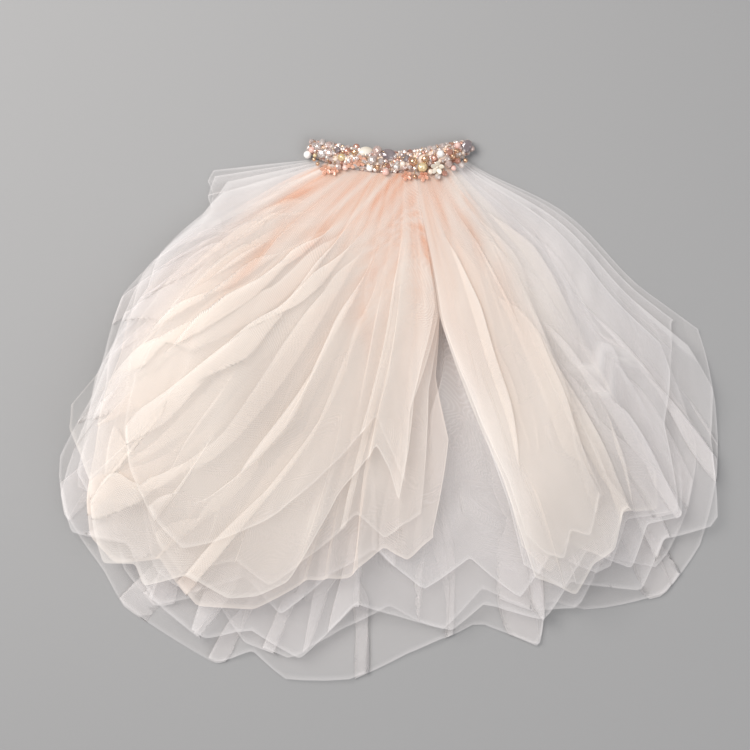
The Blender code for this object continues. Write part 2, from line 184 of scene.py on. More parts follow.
def mix_colour(tree: bpy.types.NodeTree, share: object, first: object, second: object
               ) -> bpy.types.NodeSocket:
    """Add a colour Mix node.

    Args:
        tree: The tree that gets the node.
        share: Socket or number for the share of the second colour.
        first: Socket or colour.
        second: Socket or colour.

    Returns:
        The mixed colour's socket.
    """
    node = add_node(tree, "ShaderNodeMix", data_type="RGBA")
    for place, value in ((0, share), (6, first), (7, second)):
        if isinstance(value, bpy.types.NodeSocket):
            link(tree, value, node.inputs[place])
        elif place == 0:
            node.inputs[place].default_value = value
        else:
            node.inputs[place].default_value = (*value, 1.0)
    return node.outputs[2]


def make_object(name: str, mesh: bpy.types.Mesh, material: bpy.types.Material) -> bpy.types.Object:
    """Link a mesh to the scene as an object at the origin with one material.

    Args:
        name: The piece's name.
        mesh: Its mesh.
        material: Its finish.

    Returns:
        The new object.
    """
    mesh.materials.clear()
    mesh.materials.append(material)
    thing = bpy.data.objects.new(name, mesh)
    bpy.context.scene.collection.objects.link(thing)
    return thing


def settle(piece: bpy.types.Object, slot: Slot, *nodes: str) -> None:
    """Let a piece ride on the one body and hide the solids that it replaces.

    Args:
        piece: The finished piece.
        slot: The record's slot; not used.
        *nodes: The solids that it replaces.
    """
    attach(piece, "root")
    if nodes:
        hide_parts(*nodes)
    LOG.info("%s: %d faces", piece.name, len(piece.data.polygons))


def lathe(profile: tuple[tuple[float, float], ...], sides: int, stagger: bool = False
          ) -> tuple[np.ndarray, list[tuple[int, ...]]]:
    """Turn a profile about the z axis into a closed body.

    Args:
        profile: Radius and height of each ring, from the bottom up.
        sides: Points in a ring.
        stagger: Whether every other ring is turned by half a side, for diamond facets.

    Returns:
        The points and the faces, which face outwards.
    """
    turns = np.arange(sides) * tau / sides
    points = []
    for ring, (radius, height) in enumerate(profile):
        turned = turns + (pi / sides if stagger and ring % 2 else 0.0)
        level = np.full(sides, height)
        points.append(np.stack((radius * np.cos(turned), radius * np.sin(turned), level), -1))
    faces = [tuple(range(sides - 1, -1, -1))]
    for ring in range(len(profile) - 1):
        low, high = ring * sides, (ring + 1) * sides
        for side in range(sides):
            after = (side + 1) % sides
            if not stagger:
                faces.append((low + side, low + after, high + after, high + side))
            elif ring % 2 == 0:
                faces.append((low + side, low + after, high + side))
                faces.append((low + after, high + after, high + side))
            else:
                faces.append((low + side, low + after, high + after))
                faces.append((low + side, high + after, high + side))
    last = (len(profile) - 1) * sides
    faces.append(tuple(range(last, last + sides)))
    return np.concatenate(points), faces


def turned_by(first: Vector, turn: float) -> np.ndarray:
    """A rotation that points the z axis along a direction after a turn about itself.

    Args:
        first: Where the z axis goes.
        turn: The turn in degrees.

    Returns:
        The rotation as a 3 by 3 array.
    """
    upright = first.to_track_quat("Z", "Y").to_matrix()
    return np.array(upright @ Matrix.Rotation(radians(turn), 3, "Z"))


# Node trees for what repeats and what follows a path


def open_tree(name: str, inputs: tuple[tuple[str, str], ...]
              ) -> tuple[bpy.types.NodeTree, bpy.types.Node, bpy.types.Node]:
    """Start a geometry tree with named inputs after its geometry.

    Args:
        name: The tree's name.
        inputs: Name and socket type of each input.

    Returns:
        The tree, its input node and its output node.
    """
    tree = bpy.data.node_groups.new(name, "GeometryNodeTree")
    tree.interface.new_socket("Geometry", in_out="INPUT", socket_type="NodeSocketGeometry")
    for label, kind in inputs:
        tree.interface.new_socket(label, in_out="INPUT", socket_type=kind)
    tree.interface.new_socket("Geometry", in_out="OUTPUT", socket_type="NodeSocketGeometry")
    return tree, add_node(tree, "NodeGroupInput"), add_node(tree, "NodeGroupOutput")


def close_tree(tree: bpy.types.NodeTree, made: bpy.types.NodeSocket, enter: bpy.types.Node,
               leave: bpy.types.Node) -> None:
    """End a geometry tree with Realize Instances and Set Material.

    Args:
        tree: The tree.
        made: The socket of what it made.
        enter: Its input node, which has a Finish input.
        leave: Its output node.
    """
    real = add_node(tree, "GeometryNodeRealizeInstances")
    link(tree, made, real.inputs["Geometry"])
    dress = add_node(tree, "GeometryNodeSetMaterial")
    link(tree, real.outputs["Geometry"], dress.inputs["Geometry"])
    link(tree, enter.outputs["Finish"], dress.inputs["Material"])
    link(tree, dress.outputs["Geometry"], leave.inputs["Geometry"])


def seed_bead_tree() -> bpy.types.NodeTree:
    """Small cut beads scattered over a surface, with none on its underside.

    Returns:
        The tree.
    """
    tree = bpy.data.node_groups.get("seed_beads")
    if tree:
        return tree
    tree, enter, leave = open_tree("seed_beads", (
        ("Spacing", "NodeSocketFloat"), ("Radius", "NodeSocketFloat"), ("Pick", "NodeSocketInt"),
        ("Finish", "NodeSocketMaterial")))
    normal = add_node(tree, "GeometryNodeInputNormal")
    parts = add_node(tree, "ShaderNodeSeparateXYZ")
    link(tree, normal.outputs[0], parts.inputs[0])
    upward = maths(tree, "GREATER_THAN", parts.outputs["Z"], -0.3)
    scatter = add_node(tree, "GeometryNodeDistributePointsOnFaces", distribute_method="POISSON")
    link(tree, enter.outputs["Geometry"], scatter.inputs["Mesh"])
    link(tree, upward, scatter.inputs["Selection"])
    link(tree, enter.outputs["Spacing"], scatter.inputs["Distance Min"])
    scatter.inputs["Density Max"].default_value = 1.0e6
    link(tree, enter.outputs["Pick"], scatter.inputs["Seed"])
    bead = add_node(tree, "GeometryNodeMeshUVSphere")
    bead.inputs["Segments"].default_value = 8
    bead.inputs["Rings"].default_value = 5
    link(tree, enter.outputs["Radius"], bead.inputs["Radius"])
    size = add_node(tree, "FunctionNodeRandomValue", data_type="FLOAT")
    size.inputs[2].default_value = 0.65
    size.inputs[3].default_value = 1.25
    link(tree, enter.outputs["Pick"], size.inputs["Seed"])
    spread = add_node(tree, "GeometryNodeInstanceOnPoints")
    link(tree, scatter.outputs["Points"], spread.inputs["Points"])
    link(tree, bead.outputs["Mesh"], spread.inputs["Instance"])
    link(tree, scatter.outputs["Rotation"], spread.inputs["Rotation"])
    link(tree, size.outputs[1], spread.inputs["Scale"])
    close_tree(tree, spread.outputs["Instances"], enter, leave)
    return tree


def wire_tree() -> bpy.types.NodeTree:
    """Round wire along every run of edges.

    Returns:
        The tree.
    """
    tree = bpy.data.node_groups.get("wire_along")
    if tree:
        return tree
    tree, enter, leave = open_tree("wire_along", (
        ("Thickness", "NodeSocketFloat"), ("Finish", "NodeSocketMaterial")))
    path = add_node(tree, "GeometryNodeMeshToCurve")
    link(tree, enter.outputs["Geometry"], path.inputs["Mesh"])
    profile = add_node(tree, "GeometryNodeCurvePrimitiveCircle")
    profile.inputs["Resolution"].default_value = 6
    link(tree, maths(tree, "MULTIPLY", enter.outputs["Thickness"], 0.5), profile.inputs["Radius"])
    wire = add_node(tree, "GeometryNodeCurveToMesh")
    wire.inputs["Fill Caps"].default_value = True
    link(tree, path.outputs["Curve"], wire.inputs["Curve"])
    link(tree, profile.outputs["Curve"], wire.inputs["Profile Curve"])
    close_tree(tree, wire.outputs["Mesh"], enter, leave)
    return tree


def grown(name: str, base: bpy.types.Mesh, tree: bpy.types.NodeTree, **inputs: object) -> bpy.types.Mesh:
    """Run a geometry tree on a mesh and keep the result as a plain mesh.

    Args:
        name: The name of the new mesh.
        base: The mesh that the tree starts from.
        tree: The tree.
        **inputs: Values of the tree's named inputs.

    Returns:
        The new mesh.
    """
    carrier = bpy.data.objects.new(name, base)
    bpy.context.scene.collection.objects.link(carrier)
    modifier = carrier.modifiers.new(name, "NODES")
    modifier.node_group = tree
    for socket in tree.interface.items_tree:
        if socket.in_out == "INPUT" and socket.name in inputs:
            modifier[socket.identifier] = inputs[socket.name]
    bpy.context.view_layer.update()
    evaluated = carrier.evaluated_get(bpy.context.evaluated_depsgraph_get())
    mesh = bpy.data.meshes.new_from_object(evaluated)
    mesh.name = name
    carrier.modifiers.remove(modifier)
    bpy.data.objects.remove(carrier)
    return mesh


# Shader groups that several finishes share


def group_tree(name: str, inputs: dict[str, float], outputs: tuple[str, ...]) -> bpy.types.NodeTree:
    """Make an empty shader group with named sockets.

    Args:
        name: The group's name.
        inputs: Names and values of its float inputs.
        outputs: Names of its float outputs.

    Returns:
        The group's tree.
    """
    tree = bpy.data.node_groups.new(name, "ShaderNodeTree")
    for label, value in inputs.items():
        socket = tree.interface.new_socket(label, in_out="INPUT", socket_type="NodeSocketFloat")
        socket.default_value = value
    for label in outputs:
        tree.interface.new_socket(label, in_out="OUTPUT", socket_type="NodeSocketFloat")
    return tree


def net_group() -> bpy.types.NodeTree:
    """The hexagonal net of the tulle, drawn on the cut's own UV map in metres.

    Returns:
        A group with the thread mask.
    """
    tree = bpy.data.node_groups.get("tulle_net")
    if tree:
        return tree
    tree = group_tree("tulle_net", {"Mesh": 1.3 * MM}, ("Thread",))
    enter = add_node(tree, "NodeGroupInput")
    leave = add_node(tree, "NodeGroupOutput")
    cut = add_node(tree, "ShaderNodeUVMap", uv_map="cut")
    parts = add_node(tree, "ShaderNodeSeparateXYZ")
    link(tree, cut.outputs[0], parts.inputs[0])
    turns = maths(tree, "DIVIDE", tau * 2.0 / 3.0 ** 0.5, enter.outputs["Mesh"])
    across = maths(tree, "MULTIPLY", parts.outputs["X"], turns)
    half = maths(tree, "MULTIPLY", across, 0.5)
    along = maths(tree, "MULTIPLY", maths(tree, "MULTIPLY", parts.outputs["Y"], turns), 0.75 ** 0.5)
    waves = maths(tree, "COSINE", across)
    waves = maths(tree, "ADD", waves, maths(tree, "COSINE", maths(tree, "ADD", along, half)))
    waves = maths(tree, "ADD", waves, maths(tree, "COSINE", maths(tree, "SUBTRACT", along, half)))
    thread = maths(tree, "MULTIPLY", waves, -0.85)
    thread.node.use_clamp = True
    link(tree, thread, leave.inputs["Thread"])
    return tree


def mottle_group() -> bpy.types.NodeTree:
    """Soft and fine unevenness on object coordinates, for beads, metal and the band's core.

    Returns:
        A group with a cloudy value and a fine grain value.
    """
    tree = bpy.data.node_groups.get("mottle")
    if tree:
        return tree
    tree = group_tree("mottle", {"Cloud": 90.0, "Grain": 900.0}, ("Cloud", "Grain"))
    enter = add_node(tree, "NodeGroupInput")
    leave = add_node(tree, "NodeGroupOutput")
    place = add_node(tree, "ShaderNodeTexCoord")
    for label in ("Cloud", "Grain"):
        noise = add_node(tree, "ShaderNodeTexNoise")
        link(tree, place.outputs["Object"], noise.inputs["Vector"])
        link(tree, enter.outputs[label], noise.inputs["Scale"])
        link(tree, noise.outputs[0], leave.inputs[label])
    return tree


def new_material(name: str) -> tuple[bpy.types.Material, bpy.types.NodeTree, bpy.types.Node]:
    """Make a material with nodes.

    Args:
        name: The finish's name.

    Returns:
        The material, its tree and its Principled shader.
    """
    material = bpy.data.materials.new(name)
    material.use_nodes = True
    tree = material.node_tree
    return material, tree, tree.nodes["Principled BSDF"]


@dataclass(frozen=True)
class TulleFinish:
    """Sheer net: how much light passes a single ply, its colour where thin, and a deeper orange-pink where
    it is gathered, which also paints shade between folds and in hollows.
    """

    name: str
    thin: Colour
    dense_and_shaded: Colour
    passing: float
    sheen: float = 0.35

    def material(self) -> bpy.types.Material:
        """The finish's material, whose net closes up where the ply is gathered or seen edge-on.

        Returns:
            The material.
        """
        material, tree, shader = new_material(self.name)
        net = add_node(tree, "ShaderNodeGroup", node_tree=net_group())
        density = add_node(tree, "ShaderNodeAttribute", attribute_name="closeness")
        rim = add_node(tree, "ShaderNodeAttribute", attribute_name="rim")
        tilt = add_node(tree, "ShaderNodeLayerWeight")
        tilt.inputs["Blend"].default_value = 0.5
        upright = maths(tree, "MAXIMUM", maths(tree, "SUBTRACT", 1.0, tilt.outputs["Facing"]), 0.1)
        threads = maths(tree, "MULTIPLY_ADD", net.outputs["Thread"], 0.26, 0.9)
        layers = maths(tree, "MULTIPLY", threads, density.outputs["Fac"])
        layers = maths(tree, "DIVIDE", layers, upright)
        layers = maths(tree, "MULTIPLY_ADD", rim.outputs["Fac"], 0.6, layers)
        clear = maths(tree, "POWER", self.passing, layers)
        link(tree, maths(tree, "SUBTRACT", 1.0, clear), shader.inputs["Alpha"])
        # The mix takes the gathered orange-pink near the comb, and painted shade between folds, in the long
        # hollows and in random stripes along the gathers.
        peach = add_node(tree, "ShaderNodeAttribute", attribute_name="peach")
        colour = mix_colour(tree, peach.outputs["Fac"], self.thin, self.dense_and_shaded)
        link(tree, colour, shader.inputs["Base Color"])
        shader.inputs["Roughness"].default_value = 0.75
        shader.inputs["Specular IOR Level"].default_value = 0.0
        shader.inputs["Sheen Weight"].default_value = self.sheen
        shader.inputs["Sheen Roughness"].default_value = 0.45
        shader.inputs["Sheen Tint"].default_value = (1.0, 0.96, 0.93, 1.0)
        return material


@dataclass(frozen=True)
class BeadFinish:
    """Pearls, petals and other opaque or milky beads."""

    name: str
    colour: Colour
    shade: Colour
    roughness: float
    coat: float = 0.6
    metallic: float = 0.0
    passing: float = 0.0

    def material(self) -> bpy.types.Material:
        """The finish's material, with a cloudy lustre.

        Returns:
            The material.
        """
        material, tree, shader = new_material(self.name)
        mottle = add_node(tree, "ShaderNodeGroup", node_tree=mottle_group())
        cloud = maths(tree, "MULTIPLY_ADD", mottle.outputs["Cloud"], 2.2, -0.6)
        link(tree, mix_colour(tree, cloud, self.colour, self.shade), shader.inputs["Base Color"])
        rough = maths(tree, "MULTIPLY_ADD", mottle.outputs["Grain"], 0.12, self.roughness)
        link(tree, rough, shader.inputs["Roughness"])
        shader.inputs["Metallic"].default_value = self.metallic
        shader.inputs["Coat Weight"].default_value = self.coat
        shader.inputs["Coat Roughness"].default_value = 0.08
        shader.inputs["Transmission Weight"].default_value = self.passing
        shader.inputs["IOR"].default_value = 1.5
        return material


@dataclass(frozen=True)
class FloorFinish:
    """The plain pale table top under the veil."""

    colour: Colour = (0.33, 0.325, 0.32)

    def material(self) -> bpy.types.Material:
        """The matt material of the table top.

        Returns:
            The material.
        """
        material, _, shader = new_material("table_top")
        shader.inputs["Base Color"].default_value = (*self.colour, 1.0)
        shader.inputs["Roughness"].default_value = 0.9
        return material


# Each net's second colour is a deeper orange-pink for gathered net, also used as painted shade between
# folds and in hollows.
IVORY = TulleFinish("ivory_net", (0.93, 0.86, 0.79), (0.88, 0.54, 0.38), 0.70)
BLUSH = TulleFinish("blush_net", (0.93, 0.83, 0.75), (0.88, 0.46, 0.30), 0.66)
PALE = TulleFinish("outer_net", (0.90, 0.86, 0.84), (0.89, 0.62, 0.48), 0.75)
PEARL_CREAM = BeadFinish("pearl_cream", (0.90, 0.80, 0.68), (0.80, 0.62, 0.50), 0.18)
PEARL_BLUSH = BeadFinish("pearl_blush", (0.86, 0.60, 0.52), (0.74, 0.44, 0.38), 0.20)
PEARL_WHITE = BeadFinish("pearl_white", (0.93, 0.91, 0.88), (0.84, 0.78, 0.74), 0.16)
PEACH = BeadFinish("petal_peach", (0.93, 0.58, 0.42), (0.88, 0.42, 0.27), 0.22, 0.6, 0.0, 0.35)
CREAM = BeadFinish("petal_cream", (0.92, 0.86, 0.76), (0.84, 0.74, 0.60), 0.26, 0.5, 0.0, 0.15)
CLEAR = BeadFinish("crystal_clear", (0.92, 0.85, 0.80), (0.78, 0.66, 0.61), 0.03, 0.9, 0.2, 0.5)
BLUSHED = BeadFinish("crystal_blush", (0.88, 0.72, 0.65), (0.76, 0.55, 0.49), 0.04, 0.9, 0.2, 0.45)
ROSE = BeadFinish("crystal_rose", (0.62, 0.33, 0.24), (0.46, 0.20, 0.14), 0.05, 0.9, 0.3, 0.2)
SMOKE = BeadFinish("crystal_smoke", (0.50, 0.43, 0.43), (0.26, 0.20, 0.21), 0.03, 0.9, 0.2, 0.4)
HONEY = BeadFinish("bead_honey", (0.88, 0.74, 0.46), (0.80, 0.60, 0.32), 0.10, 0.7, 0.3, 0.2)
CHAMPAGNE = BeadFinish("bead_champagne", (0.76, 0.52, 0.33), (0.48, 0.25, 0.16), 0.14, 0.5, 0.8)
GILT = BeadFinish("gilt_metal", (0.86, 0.66, 0.38), (0.70, 0.47, 0.26), 0.18, 0.1, 1.0)
RIBBON = BeadFinish("satin_ribbon", (0.84, 0.70, 0.60), (0.72, 0.54, 0.44), 0.45, 0.0)


# The fan and the heap that all the plies share


@dataclass(frozen=True)
class Fan:
    """The comb line and the headings of the gathers that start on it.

    Lengths are in metres and headings in degrees from straight towards the hem.
    """

    shift: tuple[float, float]
    span: float = 131 * MM
    sag: float = 13 * MM
    reach: float = 222 * MM
    middle: float = 17.6 * MM
    left: float = -84.0
    right: float = 54.0
    bow: float = 14 * MM
    bow_length: float = 200 * MM

    def width(self, distance: np.ndarray) -> np.ndarray:
        """The arc length of the whole fan at a distance from the comb line."""
        return self.span + distance * radians(self.right - self.left)

    def line(self, share: np.ndarray) -> tuple[np.ndarray, np.ndarray]:
        """The point of the comb line at a share of its width."""
        x = self.shift[0] + self.middle + self.span * (share - 0.5)
        return x, self.shift[1] + self.reach - self.sag * (1.0 - (2.0 * share - 1.0) ** 2)

    def heading(self, share: np.ndarray) -> np.ndarray:
        """The heading, in radians, of the gather at a share of the fan."""
        return np.radians(self.left + (self.right - self.left) * share)

    def point(self, share: np.ndarray, distance: np.ndarray) -> tuple[np.ndarray, np.ndarray]:
        """The plan point a distance out along a gather.

        Args:
            share: Share of the fan, 0 at the left.
            distance: Metres from the comb line.

        Returns:
            The x and y of the point.
        """
        x, y = self.line(share)
        heading = self.heading(share)
        bow = self.bow * share ** 4 * np.sin(pi * np.clip(distance / self.bow_length, 0, 1)) ** 2
        return (x + distance * np.sin(heading) + bow * np.cos(heading),
                y - distance * np.cos(heading) + bow * np.sin(heading))

    def away(self, x: np.ndarray, y: np.ndarray) -> np.ndarray:
        """The distance of a plan point from the comb line.

        Args:
            x: Plan positions.
            y: Plan positions.

        Returns:
            The distances in metres.
        """
        half = 0.5 * self.span
        x = x - self.shift[0] - self.middle
        along = np.clip(x, -half, half)
        middle_y = self.reach - self.sag * (1.0 - (along / half) ** 2)
        return np.hypot(x - along, y - self.shift[1] - middle_y)


@dataclass(frozen=True)
class Mound:
    """A broad soft swelling or hollow of the heap: place and radius in mm, share of the puff."""

    x: float
    y: float
    radius: float
    share: float


@dataclass(frozen=True)
class Heap:
    """How high the layers of tulle lie on each other, everywhere on the plan."""

    fan: Fan
    centre: tuple[float, float] = (5 * MM, -25 * MM)
    radii: tuple[float, float] = (330 * MM, 285 * MM)
    edge_share: float = 0.5
    rise: float = 190 * MM
    at_comb: float = 0.055
    puffs: tuple[float, ...] = (17 * MM, 14 * MM, 12 * MM, 11 * MM)
    margin: float = 1.2 * MM
    half_wall: float = 0.5 * MM
    cover: float = 2.9 * MM
    mounds: tuple[Mound, ...] = (
        Mound(-150, 40, 75, 0.30),
        Mound(-70, -90, 90, 0.22),
        Mound(150, -60, 80, 0.28),
        Mound(60, -150, 70, -0.20),
        Mound(-205, -60, 60, 0.20),
        Mound(215, 30, 60, 0.18),
    )

    def share(self, x: np.ndarray, y: np.ndarray) -> np.ndarray:
        """The share of its puff that each layer keeps at a plan point.

        Args:
            x: Plan positions.
            y: Plan positions.

        Returns:
            The shares.
        """
        from_x = x - self.fan.shift[0]
        from_y = y - self.fan.shift[1]
        spread = np.hypot((from_x - self.centre[0]) / self.radii[0],
                          (from_y - self.centre[1]) / self.radii[1])
        share = 1.0 - (1.0 - self.edge_share) * smooth((spread - 0.35) / 0.65)
        for mound in self.mounds:
            away = np.hypot(from_x - mound.x * MM, from_y - mound.y * MM) / (mound.radius * MM)
            share = share * (1.0 + mound.share * np.exp(-away * away))
        eased = smooth(self.fan.away(x, y) / self.rise) ** 0.8
        return share * (self.at_comb + (1.0 - self.at_comb) * eased)

    def floor(self, layer: int, x: np.ndarray, y: np.ndarray) -> np.ndarray:
        """The height of a layer where it has no fold.

        Args:
            layer: The layer, 0 for the lowest.
            x: Plan positions.
            y: Plan positions.

        Returns:
            The heights in metres.
        """
        share = self.share(x, y)
        height = self.half_wall + self.cover * (1.0 - smooth((self.fan.away(x, y) - 42 * MM) / (40 * MM)))
        for puff in self.puffs[:layer]:
            height = height + 2.0 * self.margin + puff * share
        return height


# The plies of tulle


@dataclass(frozen=True)
class Fold:
    """A main fold: fan shares at the comb and 400 mm out, width, height, start and end in mm, lean."""

    comb: float
    hem: float
    width: float
    height: float
    start: float
    end: float
    lean: float


@dataclass(frozen=True)
class Crease:
    """A ridge or trough along a path of fan shares and mm from the comb: width in mm, height, lean."""

    path: tuple[tuple[float, float], ...]
    width: float
    height: float
    lean: float = 1.0


@dataclass(frozen=True)
class Pattern:
    """The cut and lie of a sheet: its edges, reach, folds and creases as short tables.

    The layer is that of its solid, and the level is the part of the layer's height that it takes. The
    left and right edges are fan shares at mm from the comb, and reaches are the hem's mm from the comb
    at headings in degrees. Slant draws crests towards the comb. Fullness is how much of its gathering
    shows at fan shares. Airy thins the net at the hem, soft_side thins it at the left (-1) or right (1)
    edge, flare opens the folds towards the hem, and bare_edge is the mm without a turned side edge.
    """

    name: str
    solid: str
    layer: int
    level: tuple[float, float]
    finish: TulleFinish
    slot: Slot
    rests_on: str
    seed: int
    left: tuple[tuple[float, float], ...]
    right: tuple[tuple[float, float], ...]
    reaches: tuple[tuple[float, float], ...]
    folds: tuple[Fold, ...]
    creases: tuple[Crease, ...] = ()
    slant: float = 0.65
    small_folds: int = 16
    columns: int = 400
    rows: int = 90
    bare_edge: float = 0.0
    flutes: int = 0
    fullness: tuple[tuple[float, float], ...] = ((0.0, 1.0), (1.0, 1.0))
    airy: float = 0.25
    soft_side: int = 0
    flare: float = 0.0


@dataclass
class Blend:
    """Folds laid on each other: the highest one shows, and the higher ones decide the lean."""

    height: np.ndarray
    weight: np.ndarray
    moved: np.ndarray

    @classmethod
    def on(cls, grid: np.ndarray, least: float) -> "Blend":
        """Start with no fold.

        Args:
            grid: A grid of the size that is needed.
            least: The weight of no fold, which holds low folds back from leaning.

        Returns:
            The empty blend.
        """
        return cls(np.zeros_like(grid), np.full_like(grid, least), np.zeros_like(grid))

    def add(self, rise: np.ndarray, lean: np.ndarray) -> None:
        """Lay one more fold on the others.

        Args:
            rise: Its height, as a share of the puff.
            lean: How far it leans in metres.
        """
        self.height = np.maximum(self.height, rise)
        self.weight += rise ** 2
        self.moved = self.moved + rise ** 2 * lean

    def result(self) -> tuple[np.ndarray, np.ndarray]:
        """The height of the folds, and how far they lean in metres."""
        return self.height, self.moved / self.weight


@dataclass
class TullePly:
    """One sheet of sheer tulle, gathered on the comb line and folded down to its hem.

    Lengths are in metres, crests in half widths of a fold, patches and streaks in numbers to a metre,
    and the rest are shares.
    """

    pattern: Pattern
    fan: Fan
    heap: Heap
    seam: float = 0.3 * MM
    steepest: float = 0.55
    growth: float = 75 * MM
    crest: float = 0.14
    fine_crest: float = 0.12
    flute_crest: float = 0.1
    crease_taper: float = 120 * MM
    laid_over: float = 2.0
    slimmer: float = 0.62
    furthest: float = 48 * MM
    sway: float = 46 * MM
    gathers: int = 24
    sewn_together: int = 7
    gather_depth: float = 2.0 * MM
    crumple: float = 0.14
    hidden_by_folds: float = 0.7
    ceiling: float = 0.9
    give: float = 0.2
    hollow_depth: float = 0.85
    hollow_hold: float = 0.7
    parting: float = 0.60
    parting_width: float = 0.10
    held_left: float = 0.22
    held_right: float = 0.13
    held_top: float = 90 * MM
    hem_holds: int = 8
    gathered_top: float = 0.22
    pinch: float = 0.8
    airy_reach: float = 60 * MM
    soft_reach: float = 26 * MM
    soft_top: float = 120 * MM
    soft_share: float = 0.85
    rim_width: float = 1.2 * MM
    # How far the orange-pink tint and the painted shade between folds reach from the comb.
    peach_tint_and_shade_near: tuple[tuple[float, float], ...] = ((0.22, 70 * MM), (0.26, 200 * MM))
    patches: float = 26.0
    # Random stripes of painted light and shade along the gathers near the comb.
    streaks_across: float = 170.0
    streaks_along: float = 5.0
    streaks_end: float = 240 * MM
    cut: tuple[float, float, float] = field(default=(0.0, 0.0, 0.0), init=False)

    def table(self, rows: tuple[tuple[float, float], ...], at: np.ndarray, scale: float = 1.0
              ) -> np.ndarray:
        """Read a two-column table at given places, with straight runs between its rows."""
        return np.interp(at, [row[0] * scale for row in rows], [row[1] for row in rows])

    def hem(self, share: np.ndarray) -> np.ndarray:
        """The hem's distance from the comb line, with its corners a little rounded.

        Args:
            share: Shares of the fan at the hem.

        Returns:
            The distance in metres.
        """
        heading = np.degrees(self.fan.heading(share))
        reach = np.zeros_like(heading)
        for turn, weight in ((-0.3, 0.25), (0.0, 0.5), (0.3, 0.25)):
            reach += weight * self.table(self.pattern.reaches, heading + turn)
        return reach * MM

    def main_folds(self, share: np.ndarray, distance: np.ndarray, puff: np.ndarray
                   ) -> tuple[np.ndarray, np.ndarray]:
        """The listed folds.

        Args:
            share: Shares of the fan.
            distance: Metres from the comb line.
            puff: The height of a full fold there, in metres.

        Returns:
            The share of the puff, and how far the crests lean in metres.
        """
        blend = Blend.on(share, 1e-6)
        whole = self.fan.width(distance)
        out = distance / (400 * MM)
        for fold in self.pattern.folds:
            grown = smooth((distance - fold.start * MM) / self.growth)
            grown = grown * (1.0 - smooth((distance - fold.end * MM) / self.growth))
            middle = fold.comb + (fold.hem - fold.comb) * out ** 1.45
            middle = middle + 0.07 * fold.width * np.sin(distance / self.sway + 40.0 * fold.comb)
            wide = self.slimmer * fold.width * whole * (0.4 + 0.6 * grown)
            profile = ridge((share - middle) * whole / (0.5 * wide), self.crest) * grown
            blend.add(np.minimum(fold.height, self.steepest * wide / puff) * profile,
                      fold.lean * self.laid_over * 0.5 * wide * profile)
        return blend.result()

    def fine_folds(self, share: np.ndarray, distance: np.ndarray, puff: np.ndarray,
                   rng: np.random.Generator) -> tuple[np.ndarray, np.ndarray]:
        """Narrower folds of uneven length, width and slant between the main ones.

        Args:
            share: Shares of the fan.
            distance: Metres from the comb line.
            puff: The height of a full fold there, in metres.
            rng: The sheet's own random numbers.

        Returns:
            The share of the puff that they add, and how far they lean in metres.
        """
        blend = Blend.on(share, 1e-5)
        whole = self.fan.width(distance)
        low, high = float(share.min()), float(share.max())
        for place in range(self.pattern.small_folds):
            start_share = low + (high - low) * (place + rng.uniform(0.1, 0.9)) / self.pattern.small_folds
            width = rng.uniform(0.014, 0.042)
            start = rng.uniform(-0.05, 0.24)
            length = rng.uniform(0.10, 0.30)
            drift = rng.uniform(-0.07, 0.03) - 0.07 * float(smooth((0.6 - start_share) / 0.5))
            path = start_share + drift * (distance / 0.4) + 0.15 * width * np.sin(
                distance * rng.uniform(12, 26) + rng.uniform(0, tau))
            window = smooth((distance - start) / 0.07) * (1.0 - smooth((distance - start - length) / 0.12))
            wide = width * whole * (0.3 + 0.7 * window)
            profile = window * ridge((share - path) * whole / (0.5 * wide), self.fine_crest)
            rise = np.minimum(rng.uniform(0.2, 0.65), 0.5 * wide / puff) * profile
            blend.add(rise, rng.uniform(0.9, 2.0) * 0.5 * wide * profile)
        return blend.result()

    def hem_flutes(self, share: np.ndarray, distance: np.ndarray, reach: np.ndarray, puff: np.ndarray,
                   rng: np.random.Generator) -> tuple[np.ndarray, np.ndarray]:
        """Flutes of the hem that fell over flat, each a wedge that opens towards the hem.

        Args:
            share: Shares of the fan.
            distance: Metres from the comb line.
            reach: The hem's distance there.
            puff: The height of a full fold there, in metres.
            rng: The sheet's own random numbers.

        Returns:
            The share of the puff that they add, and how far they lean in metres.
        """
        blend = Blend.on(share, 1e-5)
        whole = self.fan.width(distance)
        low, high = float(share.min()), float(share.max())
        for place in range(self.pattern.flutes):
            middle = low + (high - low) * (place + rng.uniform(0.15, 0.85)) / self.pattern.flutes
            depth = rng.uniform(90, 210) * MM
            opened = np.clip((distance - reach + depth) / depth, 0.0, 1.0)
            path = middle + rng.uniform(-0.03, 0.03) * opened
            wide = rng.uniform(26, 62) * MM * (0.04 + 0.96 * opened)
            profile = ridge((share - path) * whole / (0.5 * wide), self.flute_crest)
            profile = profile * np.minimum(1.0, 1.6 * opened)
            rise = np.minimum(rng.uniform(0.5, 1.0), 0.6 * wide / puff) * profile
            blend.add(rise, rng.choice((-1.0, 1.0)) * rng.uniform(1.5, 2.3) * 0.5 * wide * profile)
        return blend.result()

    def gather_waves(self, share: np.ndarray, distance: np.ndarray, rng: np.random.Generator) -> np.ndarray:
        """The soft gathers at the comb, each of its own length and depth.

        Args:
            share: Shares of the fan.
            distance: Metres from the comb line.
            rng: Random numbers that all the sheets share, because they were gathered as one.

        Returns:
            Their height in metres.
        """
        height = np.zeros_like(share)
        for count, deep in ((self.gathers, 1.0), (int(2.3 * self.gathers), 0.3)):
            knots = np.linspace(0.0, 1.0, count)
            length = np.interp(share, knots, rng.uniform(0.07, 0.26, count))
            depth = np.interp(share, knots, rng.uniform(0.3, 1.0, count))
            turn = np.interp(share, knots, np.cumsum(rng.uniform(0.5, 1.5, count)))
            wave = 0.5 + 0.5 * np.sin(tau * turn)
            fade = (0.3 + 0.7 * smooth(distance / 0.07)) * np.exp(-(distance / length) ** 2)
            height += deep * depth * wave * fade
        return self.gather_depth * height

